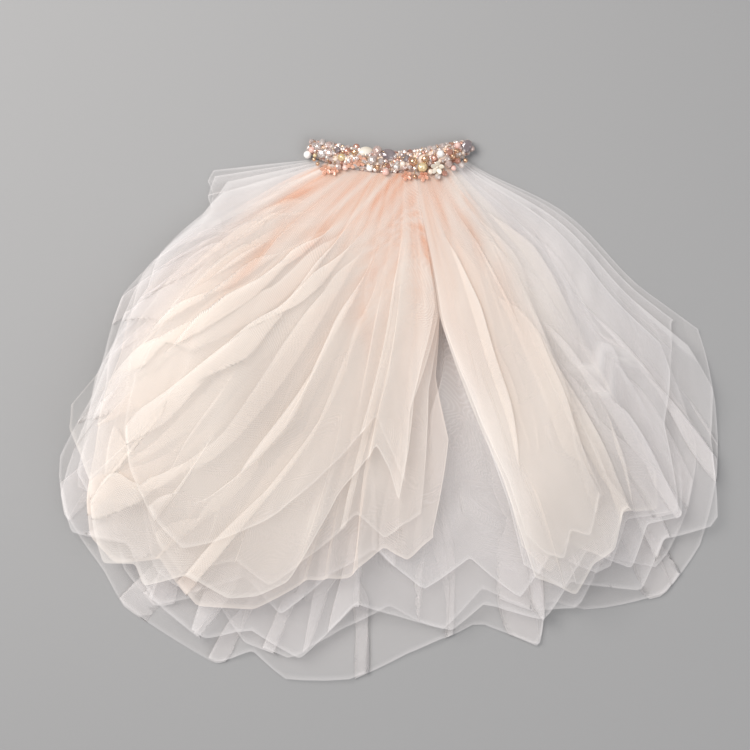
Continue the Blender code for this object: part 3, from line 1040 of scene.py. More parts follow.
    def crumples(self, x: np.ndarray, y: np.ndarray, distance: np.ndarray,
                 rng: np.random.Generator) -> np.ndarray:
        """Flat facets with sharp valleys, away from the comb.

        Args:
            x: Plan positions.
            y: Plan positions.
            distance: Metres from the comb line.
            rng: The sheet's own random numbers.

        Returns:
            The share of the puff that they add.
        """
        height = np.zeros_like(x)
        for length in (0.170, 0.120, 0.085, 0.060):
            heading = rng.uniform(0, pi)
            phase = rng.uniform(0, tau, 3)
            bend = 0.25 * np.sin(x * tau / 0.21 + phase[1]) + 0.25 * np.sin(y * tau / 0.17 + phase[2])
            turn = (x * cos(heading) + y * sin(heading)) * pi / length + phase[0] + bend * pi
            height += np.abs(np.sin(turn)) * length / 0.170
        return self.crumple * height * smooth((distance - 0.12) / 0.20)

    def along_path(self, crease: Crease, x: np.ndarray, y: np.ndarray) -> tuple[np.ndarray, np.ndarray]:
        """How near each plan point is to a crease's rounded path.

        Args:
            crease: The crease.
            x: Plan positions.
            y: Plan positions.

        Returns:
            The crease's profile there, from 0 to 1, and the x and y of its overhang in metres.
        """
        path = np.array([self.fan.point(share, distance * MM) for share, distance in crease.path])
        for _ in range(2):
            cut = np.stack((0.75 * path[:-1] + 0.25 * path[1:], 0.25 * path[:-1] + 0.75 * path[1:]), 1)
            path = np.concatenate((path[:1], cut.reshape(-1, 2), path[-1:]))
        nearest = np.full_like(x, 1.0)
        across = np.zeros_like(x)
        walked = np.zeros_like(x)
        way = np.zeros((2, *x.shape))
        total = 0.0
        for start, end in zip(path[:-1], path[1:]):
            run = end - start
            length = float(np.hypot(*run)) + 1e-9
            along = np.clip(((x - start[0]) * run[0] + (y - start[1]) * run[1]) / length, 0.0, length)
            off_x = x - start[0] - along * run[0] / length
            off_y = y - start[1] - along * run[1] / length
            away = np.hypot(off_x, off_y)
            closer = away < nearest
            nearest = np.where(closer, away, nearest)
            side = (off_y * run[0] - off_x * run[1]) / length
            across = np.where(closer, np.sign(side) * away, across)
            way = np.where(closer, np.array((-run[1], run[0]))[:, None, None] / length, way)
            walked = np.where(closer, total + along, walked)
            total += length
        taper = min(self.crease_taper, 0.48 * total)
        ends = smooth(walked / taper) * smooth((total - walked) / taper)
        wide = 0.5 * crease.width * MM * (0.2 + 0.8 * ends)
        profile = ends * ridge(across / wide, self.crest)
        return profile, way * wide * profile

    def hand_creases(self, x: np.ndarray, y: np.ndarray) -> tuple[np.ndarray, np.ndarray]:
        """The listed creases, each leaning over to one side of its path.

        Args:
            x: Plan positions.
            y: Plan positions.

        Returns:
            The share of the puff that they add, and how far they lean along x and y in metres.
        """
        blend = Blend.on(x, 1e-5)
        for crease in self.pattern.creases:
            profile, way = self.along_path(crease, x, y)
            blend.add(crease.height * profile, crease.lean * way)
        height, lean = blend.result()
        return height, np.broadcast_to(lean, (2, *x.shape))

    def troughs(self, x: np.ndarray, y: np.ndarray) -> np.ndarray:
        """How deep each point lies in the long troughs that all the sheets share.

        Args:
            x: Plan positions.
            y: Plan positions.

        Returns:
            The depth, from 0 to 1.
        """
        depth = np.zeros_like(x)
        for trough in TROUGHS:
            depth = np.maximum(depth, trough.height * self.along_path(trough, x, y)[0])
        return smooth(depth)

    def surface(self) -> tuple[np.ndarray, np.ndarray, np.ndarray, np.ndarray, np.ndarray]:
        """Work out the sheet's points.

        Returns:
            The grids of points, of distances from the comb line, of fan shares, of fold heights less the
            hollows between them, and of the listed creases.
        """
        pattern, fan = self.pattern, self.fan
        rng = np.random.default_rng(pattern.seed)
        across, along = np.meshgrid(np.linspace(0, 1, pattern.columns + 1),
                                    np.linspace(0, 1, pattern.rows + 1))
        ends = [float(self.table(rows, 1.0, MM)) for rows in (pattern.left, pattern.right)]
        at_hem = ends[0] + (ends[1] - ends[0]) * across
        reach = self.hem(at_hem)
        distance = self.seam + along * (reach - self.seam)
        left = self.table(pattern.left, distance, MM)
        right = self.table(pattern.right, distance, MM)
        share = left + (right - left) * across
        x, y = fan.point(share, distance)
        low, high = pattern.level
        puff = (high - low) * self.heap.puffs[pattern.layer] * self.heap.share(x, y)
        height, lean = self.main_folds(share, distance, puff)
        lean = lean * (1.0 - pattern.flare + 2.4 * pattern.flare * np.clip(2.2 * along - 1.2, 0.0, 1.0))
        fine, tilt = self.fine_folds(share, distance, puff, rng)
        creases, loose = self.hand_creases(x, y)
        hollow = self.troughs(x, y)
        gathers = self.gather_waves(share, distance, np.random.default_rng(self.sewn_together))
        fine = np.maximum(fine, creases) + gathers / (puff + 2.0 * MM) + self.crumples(x, y, distance, rng)
        side = np.tanh((share - self.parting) / self.parting_width)
        fluted, swing = self.hem_flutes(share, distance, reach, puff, rng)
        fine = np.maximum(fine, fluted)
        total = height + fine * (1.0 - self.hidden_by_folds * np.minimum(height, 1.0))
        over = total - self.ceiling
        total = np.where(over > 0.0, self.ceiling + self.give * np.tanh(over / self.give), total)
        total = total * (1.0 - self.hollow_depth * hollow)
        free = smooth(np.minimum(across / self.held_left, (1.0 - across) / self.held_right))
        free = free * smooth(distance / self.held_top)
        sideways = (lean + (tilt + gathers) * side + swing) * (1.0 - self.hollow_hold * hollow)
        sideways = self.furthest * np.tanh(sideways / self.furthest) * free
        steep = np.abs(self.hem(at_hem + 0.01) - self.hem(at_hem - 0.01)) / (0.02 * fan.width(reach))
        moved = sideways / fan.width(distance) / (1.0 + along ** self.hem_holds * (steep / 1.1) ** 2)
        change = self.hem(np.clip(at_hem + moved, *ends)) - reach
        distance = distance + along * change
        share = share + moved
        x, y = fan.point(share, distance)
        heading = fan.heading(share)
        inwards = pattern.slant * total * puff * smooth((distance - 0.15) / 0.18)
        loose = loose * free * (1.0 - along ** self.hem_holds)
        x = x - inwards * np.sin(heading) + loose[0]
        y = y + inwards * np.cos(heading) + loose[1]
        rise = (low + (high - low) * total) * self.heap.puffs[pattern.layer]
        z = self.heap.floor(pattern.layer, x, y) + rise * self.heap.share(x, y)
        return np.stack((x, y, z), axis=-1), distance, share, total - 0.6 * hollow, creases

    def closeness(self, arc: np.ndarray, flat: np.ndarray, distance: np.ndarray, fullness: np.ndarray,
                  pinched: np.ndarray) -> np.ndarray:
        """How close the net lies: 1 where it is flat and single, more where it is gathered.

        Args:
            arc: Metres along each row with all its folds.
            flat: The flat width of each row.
            distance: Metres from the comb line.
            fullness: How much of its gathering each point shows.
            pinched: The listed creases.

        Returns:
            The closeness of each point.
        """
        close = 1.0 + ((flat / arc[:, -1])[:, None] - 1.0) * fullness
        from_hem = distance[-1] - distance
        close = close * (1.0 - self.pattern.airy * np.exp(-from_hem / self.airy_reach))
        close = close * (1.0 + self.pinch * pinched ** 2)
        if self.pattern.soft_side:
            near_side = arc if self.pattern.soft_side < 0 else arc[:, -1:] - arc
            thinned = np.exp(-(near_side / self.soft_reach) ** 2) * smooth(distance / self.soft_top)
            close = close * (1.0 - self.soft_share * thinned)
        return close

    def rim(self, arc: np.ndarray, distance: np.ndarray) -> np.ndarray:
        """The turned edge of the sheet.

        Args:
            arc: Metres along each row with all its folds.
            distance: Metres from the comb line.

        Returns:
            Values that are 1 on the edge and 0 from a rim's width inside it.
        """
        from_hem = distance[-1] - distance
        from_side = np.minimum(arc, arc[:, -1:] - arc)
        edge = np.where(distance > self.pattern.bare_edge * MM, np.minimum(from_hem, from_side), from_hem)
        return np.clip(1.0 - edge / self.rim_width, 0.0, 1.0)

    def peach_tint_and_shade_share(self, distance: np.ndarray, rise: np.ndarray, fullness: np.ndarray) -> np.ndarray:
        """How far the net turns to its second colour: orange-pink tint and painted shade between the folds
        near the comb, and painted shade in the long hollows.

        Args:
            distance: Metres from the comb line.
            rise: The folds' height less the hollows.
            fullness: How much of its gathering each point shows.

        Returns:
            The share of the second colour before the painted light and shade of the stripes along the
            gathers.
        """
        near = sum(share * np.exp(-(distance / reach) ** 2) for share, reach in self.peach_tint_and_shade_near)
        # Painted shade: the lower the folds, the more of the darker second colour; the long hollows get
        # more too.
        between = np.clip(1.2 - 1.5 * rise, 0.0, 1.5)
        return between * near * np.maximum(fullness, 0.0) + 0.6 * np.maximum(-rise, 0.0)

    def build(self) -> bpy.types.Object:
        """Make the sheet, with its cut as a UV map and its closeness, rim, and orange-pink tint with
        painted shade as attributes.

        Returns:
            The sheet.
        """
        pattern = self.pattern
        points, distance, share, rise, pinched = self.surface()
        rows, columns = points.shape[:2]
        steps = np.sum(np.diff(points, axis=1) ** 2, axis=-1) - np.diff(distance, axis=1) ** 2
        steps = np.sqrt(np.maximum(steps, 1e-10))
        arc = np.concatenate((np.zeros((rows, 1)), np.cumsum(steps, axis=1)), axis=1)
        widths = arc[:, -1]
        hem = float(widths[-1])
        top = self.gathered_top * hem
        flat = np.maximum(widths, top + (hem - top) * np.linspace(0, 1, rows))
        fullness = self.table(pattern.fullness, np.clip(share, 0.0, 1.0))
        close = self.closeness(arc, flat, distance, fullness, pinched)
        rng = np.random.default_rng(pattern.seed + 100)
        over = flat[:, None] * np.linspace(0, 1, columns)
        close = close * (0.8 + 0.4 * cloudy(self.patches * over, self.patches * distance, rng))
        # Random stripes along the gathers, fading from the comb, are painted light and shade: less of the
        # second colour on the light ones, more on the dark ones.
        gather_light_and_shade = cloudy(self.streaks_across * over, self.streaks_along * distance, rng)
        faded = np.clip(1.0 - distance / self.streaks_end, 0.0, 1.0)
        gather_light_and_shade = np.clip(1.6 * gather_light_and_shade - 0.8, -0.5, 0.5) * faded
        peach = np.clip(self.peach_tint_and_shade_share(distance, rise, fullness) * (1.0 - 1.7 * gather_light_and_shade), 0.0, 1.0)
        corner = np.arange(rows * columns).reshape(rows, columns)
        faces = np.stack((corner[:-1, :-1], corner[1:, :-1], corner[1:, 1:], corner[:-1, 1:]), -1)
        mesh = bpy.data.meshes.new(pattern.name)
        mesh.from_pydata(points.reshape(-1, 3).tolist(), [], faces.reshape(-1, 4).tolist())
        loops = np.empty(len(mesh.loops), dtype=np.int32)
        mesh.loops.foreach_get("vertex_index", loops)
        cut = np.stack((arc * (flat / widths)[:, None], distance), -1).reshape(-1, 2)
        mesh.uv_layers.new(name="cut").data.foreach_set("uv", cut[loops].ravel())
        for label, grid in (("closeness", close), ("rim", self.rim(arc, distance)), ("peach", peach)):
            layer = mesh.attributes.new(label, "FLOAT", "POINT")
            layer.data.foreach_set("value", grid.ravel().astype(np.float32))
        mesh.shade_smooth()
        self.cut = (hem, float(distance.max()), 0.5 * (top + hem) * float(distance[-1].mean()))
        return make_object(pattern.name, mesh, pattern.finish.material())

    def finish(self, piece: bpy.types.Object) -> None:
        """Args:
            piece: The sheet.
        """
        settle(piece, self.pattern.slot, *([self.pattern.solid] if self.pattern.solid else []))


UNDER = (0.0, 0.44)
OVER = (0.50, 0.96)
FAR = 999.0
SPARSE_RIGHT = ((0.0, 1.0), (0.78, 1.0), (0.84, 0.0), (1.0, 0.0))
TROUGHS = (
    Crease(((0.284, 16), (0.262, 64), (0.276, 106), (0.284, 147), (0.282, 183), (0.274, 230)), 17, 0.95),
    Crease(((0.506, 14), (0.520, 60), (0.530, 110), (0.545, 170), (0.556, 210)), 13, 0.7),
    Crease(((0.640, 14), (0.652, 50), (0.664, 90), (0.670, 122)), 12, 0.8),
    Crease(((0.22, 12), (0.19, 46), (0.168, 88)), 13, 0.7),
    Crease(((0.330, 12), (0.345, 60), (0.350, 110), (0.342, 150)), 13, 0.75),
    Crease(((0.790, 14), (0.795, 60), (0.800, 100)), 12, 0.55),
)
SPARSE_SIDES = ((0.0, -0.06), (0.08, 0.1), (0.2, 1.0), (0.78, 1.0), (0.86, 0.15), (1.0, -0.04))

LOWER_BACK = Pattern(
    "veil_lower_back", "lower_tier_back", 0, UNDER, PALE, Slot.IVORY, "comb", 11,
    left=((0, 0.0), (400, 0.0)),
    right=((0, 1.0), (400, 1.0)),
    reaches=(
        (-84, 90), (-80, 100), (-75, 102), (-70, 112), (-66, 130), (-63, 182), (-60, 222),
        (-53, 270), (-49, 306), (-46, 366), (-41, 400), (-34, 420), (-30, 440), (-24, 448),
        (-19, 456), (-16, 438), (-12, 456), (-6, 450), (0, 424), (8, 400), (12, 420),
        (14, 432), (16, 392), (20, 412), (28, 426), (34, 404), (40, 366), (47, 312), (54, 254),
    ),
    folds=(
        Fold(0.06, 0.02, 0.070, 1.0, 20, FAR, -1.0), Fold(0.16, 0.09, 0.080, 0.8, 60, FAR, -1.2),
        Fold(0.26, 0.17, 0.100, 1.0, 25, FAR, -1.3), Fold(0.36, 0.26, 0.070, 0.8, 120, FAR, -1.1),
        Fold(0.43, 0.35, 0.110, 1.0, 15, FAR, -1.2), Fold(0.50, 0.45, 0.080, 0.8, 90, FAR, -1.0),
        Fold(0.56, 0.53, 0.100, 1.0, 30, FAR, -0.9), Fold(0.62, 0.60, 0.070, 0.7, 150, FAR, 0.8),
        Fold(0.70, 0.68, 0.110, 1.0, 20, FAR, 1.0), Fold(0.78, 0.77, 0.080, 0.8, 100, FAR, 1.0),
        Fold(0.86, 0.88, 0.110, 1.0, 15, FAR, 1.2), Fold(0.94, 0.97, 0.090, 0.9, 30, FAR, 1.1),
    ),
    creases=(
        Crease(((0.20, 230), (0.25, 300), (0.33, 360)), 30, 0.8, 1.2),
        Crease(((0.78, 330), (0.84, 372), (0.90, 386)), 30, 0.8, 1.4),
        Crease(((0.38, 380), (0.43, 430), (0.50, 440)), 28, 0.8, -1.3),
        Crease(((0.10, 80), (0.14, 140), (0.20, 190)), 20, 0.8, 1.2),
    ),
    small_folds=30, columns=430, rows=92, flutes=15, flare=0.8,
    fullness=SPARSE_SIDES,
)

LOWER_BACK_OVER = Pattern(
    "veil_lower_back_over", "", 0, OVER, PALE, Slot.IVORY, "veil_lower_back", 31,
    left=((0, 0.02), (400, 0.02)),
    right=((0, 0.99), (400, 0.99)),
    reaches=(
        (-81, 92), (-74, 108), (-69, 112), (-64, 168), (-60, 205), (-55, 232), (-51, 290),
        (-46, 330), (-42, 372), (-38, 366), (-32, 410), (-27, 428), (-22, 398), (-17, 430),
        (-12, 436), (-7, 404), (-2, 380), (4, 404), (9, 372), (14, 398), (19, 408), (24, 372),
        (29, 402), (35, 372), (41, 330), (46, 262), (52, 232),
    ),
    folds=(
        Fold(0.10, 0.05, 0.080, 1.0, 30, FAR, -1.1), Fold(0.22, 0.13, 0.100, 1.0, 40, FAR, -1.2),
        Fold(0.34, 0.23, 0.110, 1.0, 20, FAR, -1.3), Fold(0.45, 0.34, 0.080, 0.8, 80, FAR, -1.1),
        Fold(0.52, 0.46, 0.110, 1.0, 30, FAR, -1.0), Fold(0.60, 0.56, 0.080, 0.9, 60, FAR, -0.7),
        Fold(0.68, 0.66, 0.090, 1.0, 30, FAR, 0.9), Fold(0.75, 0.74, 0.100, 0.9, 40, FAR, 1.0),
        Fold(0.83, 0.84, 0.090, 1.0, 20, FAR, 1.2), Fold(0.92, 0.94, 0.110, 1.0, 20, FAR, 1.2),
    ),
    creases=(
        Crease(((0.984, 20), (0.956, 66), (0.938, 119), (0.910, 183), (0.864, 252), (0.83, 330)),
               26, 1.0, -1.3),
        Crease(((0.30, 300), (0.34, 350), (0.41, 390)), 28, 0.8, -1.3),
        Crease(((0.57, 320), (0.53, 370), (0.47, 400)), 28, 0.8, 1.3),
    ),
    small_folds=26, columns=380, rows=84, flutes=12, flare=0.8,
    fullness=SPARSE_SIDES,
)

LOWER_FRONT = Pattern(
    "veil_lower_front", "lower_tier_front", 1, UNDER, PALE, Slot.IVORY, "veil_lower_back_over", 12,
    left=((0, 0.045), (400, 0.045)),
    right=((0, 0.975), (400, 0.975)),
    reaches=(
        (-78, 84), (-73, 100), (-67, 128), (-62, 190), (-57, 226), (-52, 266), (-47, 322),
        (-43, 384), (-39, 406), (-33, 388), (-28, 420), (-21, 438), (-17, 416), (-11, 432),
        (-6, 380), (-1, 388), (5, 402), (9, 382), (15, 408), (19, 382), (26, 412), (31, 380),
        (37, 394), (43, 330), (48, 300), (52, 232),
    ),
    folds=(
        Fold(0.11, 0.07, 0.090, 1.0, 25, FAR, -1.1), Fold(0.20, 0.12, 0.070, 0.8, 70, FAR, -1.2),
        Fold(0.29, 0.19, 0.110, 1.0, 20, FAR, -1.2), Fold(0.39, 0.29, 0.080, 0.8, 110, FAR, -1.0),
        Fold(0.47, 0.38, 0.110, 1.0, 15, FAR, -1.2), Fold(0.55, 0.49, 0.090, 0.9, 60, FAR, -0.9),
        Fold(0.63, 0.60, 0.100, 1.0, 25, FAR, -0.7), Fold(0.70, 0.69, 0.080, 0.8, 100, FAR, 0.8),
        Fold(0.78, 0.78, 0.100, 1.0, 20, FAR, 1.1), Fold(0.87, 0.88, 0.090, 0.9, 50, FAR, 1.0),
        Fold(0.94, 0.95, 0.090, 1.0, 25, FAR, 1.1),
    ),
    creases=(
        Crease(((0.17, 190), (0.22, 270), (0.30, 346)), 28, 0.8, 1.2),
        Crease(((0.70, 330), (0.76, 372), (0.82, 386)), 26, 0.8, 1.4),
        Crease(((0.95, 60), (0.935, 140), (0.91, 218), (0.87, 290)), 24, 0.9, -1.2),
    ),
    small_folds=30, columns=400, rows=88, flutes=13, flare=0.8,
    fullness=SPARSE_SIDES,
)

LOWER_FRONT_OVER = Pattern(
    "veil_lower_front_over", "", 1, OVER, PALE, Slot.IVORY, "veil_lower_front", 32,
    left=((0, 0.07), (400, 0.09)),
    right=((0, 0.96), (400, 0.95)),
    reaches=(
        (-72, 92), (-67, 120), (-62, 172), (-57, 200), (-52, 262), (-48, 286), (-43, 360),
        (-39, 372), (-34, 352), (-29, 396), (-24, 404), (-19, 372), (-14, 396), (-9, 352),
        (-4, 330), (2, 366), (8, 340), (13, 384), (18, 352), (23, 388), (28, 350), (34, 366),
        (39, 296), (45, 262), (49, 214),
    ),
    folds=(
        Fold(0.15, 0.10, 0.090, 1.0, 30, FAR, -1.1), Fold(0.26, 0.16, 0.100, 1.0, 20, FAR, -1.2),
        Fold(0.37, 0.25, 0.100, 1.0, 50, FAR, -1.2), Fold(0.48, 0.36, 0.090, 0.9, 20, FAR, -1.1),
        Fold(0.56, 0.47, 0.090, 1.0, 40, FAR, -0.9), Fold(0.64, 0.61, 0.070, 0.9, 70, FAR, -0.7),
        Fold(0.71, 0.70, 0.080, 1.0, 30, FAR, 0.9), Fold(0.80, 0.80, 0.090, 0.9, 40, FAR, 1.0),
        Fold(0.88, 0.90, 0.090, 1.0, 25, FAR, 1.2),
    ),
    creases=(
        Crease(((0.780, 180), (0.828, 205), (0.874, 236), (0.905, 262), (0.935, 290)), 20, 1.0, 0.4),
        Crease(((0.790, 216), (0.824, 234), (0.874, 250), (0.930, 278)), 16, 1.0, 0.4),
        Crease(((0.24, 220), (0.30, 290), (0.38, 330)), 26, 0.8, 1.2),
        Crease(((0.678, 141), (0.662, 234), (0.632, 314)), 24, 0.9, -1.4),
    ),
    small_folds=26, columns=360, rows=80, flutes=10, flare=0.8,
    fullness=SPARSE_SIDES,
)

LEFT_BACK = Pattern(
    "veil_left_back", "upper_tier_left_back", 2, UNDER, BLUSH, Slot.BLUSH, "veil_lower_front_over", 13,
    left=((0, 0.075), (69, 0.120), (127, 0.146), (169, 0.168), (198, 0.190), (232, 0.212)),
    right=((0, 0.668), (128, 0.668), (180, 0.652), (235, 0.660), (313, 0.634)),
    reaches=(
        (-54.7, 232), (-51, 256), (-47, 300), (-43, 336), (-40, 372), (-37, 398),
        (-33, 406), (-29, 384), (-23, 410), (-17, 396), (-12, 362), (-7, 354), (-3, 326),
        (0, 338), (4, 316),
    ),
    folds=(
        Fold(0.15, 0.12, 0.080, 0.6, 20, FAR, -0.7), Fold(0.25, 0.15, 0.100, 0.7, 60, FAR, -0.8),
        Fold(0.34, 0.20, 0.100, 1.0, 15, FAR, -1.2), Fold(0.43, 0.27, 0.090, 0.9, 80, FAR, -1.1),
        Fold(0.50, 0.35, 0.090, 1.0, 20, FAR, -1.1), Fold(0.56, 0.46, 0.080, 0.9, 60, FAR, -0.9),
        Fold(0.61, 0.57, 0.060, 1.0, 30, FAR, -0.7),
    ),
    creases=(Crease(((0.330, 28), (0.256, 63), (0.206, 92), (0.150, 122)), 24, 0.9, -1.3),),
    small_folds=20, columns=300, rows=84, bare_edge=132, soft_side=-1,
)

LEFT_BACK_OVER = Pattern(
    "veil_left_back_over", "", 2, OVER, IVORY, Slot.BLUSH, "veil_left_back", 33,
    left=((0, 0.090), (69, 0.136), (127, 0.164), (169, 0.188), (215, 0.220)),
    right=((0, 0.668), (128, 0.668), (190, 0.640), (240, 0.632), (300, 0.622)),
    reaches=(
        (-55, 214), (-51, 240), (-46, 276), (-42, 326), (-38, 366), (-34, 344),
        (-30, 372), (-26, 388), (-21, 360), (-16, 372), (-11, 330), (-7, 300), (-3, 318), (2, 296),
    ),
    folds=(
        Fold(0.19, 0.13, 0.080, 0.5, 25, FAR, -0.6), Fold(0.30, 0.17, 0.100, 0.6, 20, FAR, -0.7),
        Fold(0.40, 0.23, 0.110, 1.0, 30, FAR, -1.2), Fold(0.49, 0.31, 0.090, 0.9, 20, FAR, -1.1),
        Fold(0.55, 0.42, 0.080, 1.0, 50, FAR, -0.9), Fold(0.61, 0.55, 0.060, 0.9, 30, FAR, -0.7),
    ),
    creases=(Crease(((0.330, 40), (0.270, 72), (0.222, 104), (0.170, 140)), 24, 0.9, -1.3),),
    small_folds=18, columns=270, rows=78, bare_edge=132, airy=0.6, soft_side=-1,
)

LEFT_FRONT = Pattern(
    "veil_left_front", "upper_tier_left_front", 3, UNDER, IVORY, Slot.IVORY, "veil_left_back_over", 14,
    left=((0, 0.110), (80, 0.150), (140, 0.176), (190, 0.206), (250, 0.236), (332, 0.252)),
    right=((0, 0.668), (128, 0.664), (198, 0.618), (242, 0.610), (283, 0.600)),
    reaches=(
        (-49.2, 318), (-47.5, 334), (-44, 344), (-41, 356), (-37, 390), (-34, 410), (-31, 396),
        (-29, 410), (-25.5, 386), (-20, 392), (-17, 382), (-14, 363), (-12, 323), (-9.5, 277),
        (-6.2, 238), (-3.4, 259), (-1.2, 284),
    ),
    folds=(
        Fold(0.24, 0.13, 0.080, 0.5, 20, FAR, -0.6), Fold(0.35, 0.15, 0.080, 0.7, 60, FAR, -0.8),
        Fold(0.45, 0.20, 0.120, 1.0, 15, FAR, -1.2), Fold(0.52, 0.36, 0.090, 1.0, 30, FAR, -1.1),
        Fold(0.565, 0.455, 0.070, 0.9, 60, FAR, -0.9), Fold(0.61, 0.56, 0.050, 1.0, 25, FAR, -0.6),
    ),
    small_folds=18, columns=270, rows=80, bare_edge=132, soft_side=-1,
)

LEFT_FRONT_OVER = Pattern(
    "veil_left_front_over", "", 3, OVER, IVORY, Slot.IVORY, "veil_left_front", 34,
    left=((0, 0.150), (80, 0.182), (150, 0.212), (200, 0.240), (250, 0.272)),
    right=((0, 0.666), (120, 0.660), (165, 0.632), (208, 0.612), (261, 0.606)),
    reaches=(
        (-46, 262), (-42, 300), (-38, 326), (-35, 338), (-31, 356), (-27, 366), (-24, 350),
        (-21, 330), (-18, 312), (-15, 286), (-12, 260), (-9, 236), (-6, 212), (-3, 240), (0, 272),
    ),
    folds=(
        Fold(0.30, 0.14, 0.080, 0.5, 25, FAR, -0.6), Fold(0.40, 0.17, 0.090, 0.8, 30, FAR, -0.9),
        Fold(0.485, 0.285, 0.110, 1.0, 20, FAR, -1.2), Fold(0.55, 0.40, 0.080, 1.0, 40, FAR, -1.0),
        Fold(0.60, 0.53, 0.050, 1.0, 25, FAR, -0.7),
    ),
    small_folds=14, columns=240, rows=76, bare_edge=132, airy=0.6, soft_side=-1,
)

RIGHT_BACK = Pattern(
    "veil_right_back", "upper_tier_right_back", 2, UNDER, PALE, Slot.BLUSH, "veil_lower_front_over", 15,
    left=((0, 0.664), (128, 0.666), (200, 0.700), (300, 0.712)),
    right=((0, 0.930), (120, 0.910), (330, 0.880)),
    reaches=((14, 352), (18, 384), (22, 358), (26, 388), (30, 360), (34, 370), (38, 326)),
    folds=(
        Fold(0.71, 0.73, 0.050, 0.6, 25, FAR, 0.7), Fold(0.77, 0.76, 0.060, 0.6, 15, 200, 0.8),
        Fold(0.83, 0.82, 0.060, 0.6, 120, FAR, 0.8), Fold(0.89, 0.86, 0.060, 0.6, 60, FAR, 0.8),
    ),
    creases=(
        Crease(((0.820, 196), (0.850, 215), (0.880, 238), (0.895, 256)), 20, 1.0, 0.4),
        Crease(((0.815, 232), (0.850, 244), (0.890, 262)), 16, 1.0, 0.4),
    ),
    small_folds=9, columns=190, rows=80, bare_edge=132, fullness=SPARSE_RIGHT, soft_side=1,
)

RIGHT_BACK_OVER = Pattern(
    "veil_right_back_over", "", 2, OVER, IVORY, Slot.BLUSH, "veil_right_back", 35,
    left=((0, 0.664), (128, 0.668), (200, 0.704), (300, 0.714)),
    right=((0, 0.910), (120, 0.880), (330, 0.856)),
    reaches=((14, 330), (17, 366), (20, 344), (24, 372), (28, 340), (32, 352), (36, 300)),
    folds=(
        Fold(0.72, 0.74, 0.050, 0.6, 25, 260, 0.8), Fold(0.79, 0.78, 0.070, 0.6, 110, FAR, 0.8),
        Fold(0.86, 0.84, 0.060, 0.6, 40, 240, 0.8),
    ),
    small_folds=8, columns=170, rows=76, bare_edge=132, fullness=SPARSE_RIGHT, airy=0.6, soft_side=1,
)

RIGHT_FRONT = Pattern(
    "veil_right_front", "upper_tier_right_front", 3, UNDER, IVORY, Slot.IVORY, "veil_right_back_over", 16,
    left=((0, 0.664), (128, 0.667), (191, 0.690), (277, 0.712), (364, 0.718)),
    right=((0, 0.880), (122, 0.832), (200, 0.818), (328, 0.812)),
    reaches=((15, 364), (17, 376), (19, 390), (22, 370), (25, 366), (28, 338)),
    folds=(
        Fold(0.69, 0.71, 0.040, 0.5, 20, FAR, 0.7), Fold(0.76, 0.77, 0.070, 0.5, 90, FAR, 0.9),
        Fold(0.82, 0.80, 0.050, 0.5, 15, 240, 0.8),
    ),
    small_folds=7, columns=160, rows=80, bare_edge=132, soft_side=1,
)

RIGHT_FRONT_OVER = Pattern(
    "veil_right_front_over", "", 3, OVER, IVORY, Slot.IVORY, "veil_right_front", 36,
    left=((0, 0.666), (128, 0.670), (191, 0.694), (277, 0.716), (364, 0.722)),
    right=((0, 0.860), (122, 0.818), (200, 0.806), (328, 0.800)),
    reaches=((15, 318), (17, 346), (19, 356), (21, 334), (23, 346), (26, 316)),
    folds=(
        Fold(0.71, 0.73, 0.040, 0.5, 20, 220, 0.8), Fold(0.775, 0.765, 0.060, 0.5, 150, FAR, 0.8),
    ),
    small_folds=6, columns=140, rows=76, bare_edge=132, airy=0.6, soft_side=1,
)

PATTERNS = (
    LOWER_BACK, LOWER_BACK_OVER, LOWER_FRONT, LOWER_FRONT_OVER, LEFT_BACK, LEFT_BACK_OVER,
    RIGHT_BACK, RIGHT_BACK_OVER, LEFT_FRONT, LEFT_FRONT_OVER, RIGHT_FRONT, RIGHT_FRONT_OVER,
)


# The beaded headpiece and its comb


@dataclass(frozen=True)
class Bead:
    """A bead of the table: plan place, length and width in mm, and its turn in degrees."""

    gem: Gem
    finish: BeadFinish
    x: float
    y: float
    length: float
    width: float = 0.0
    turn: float = 0.0


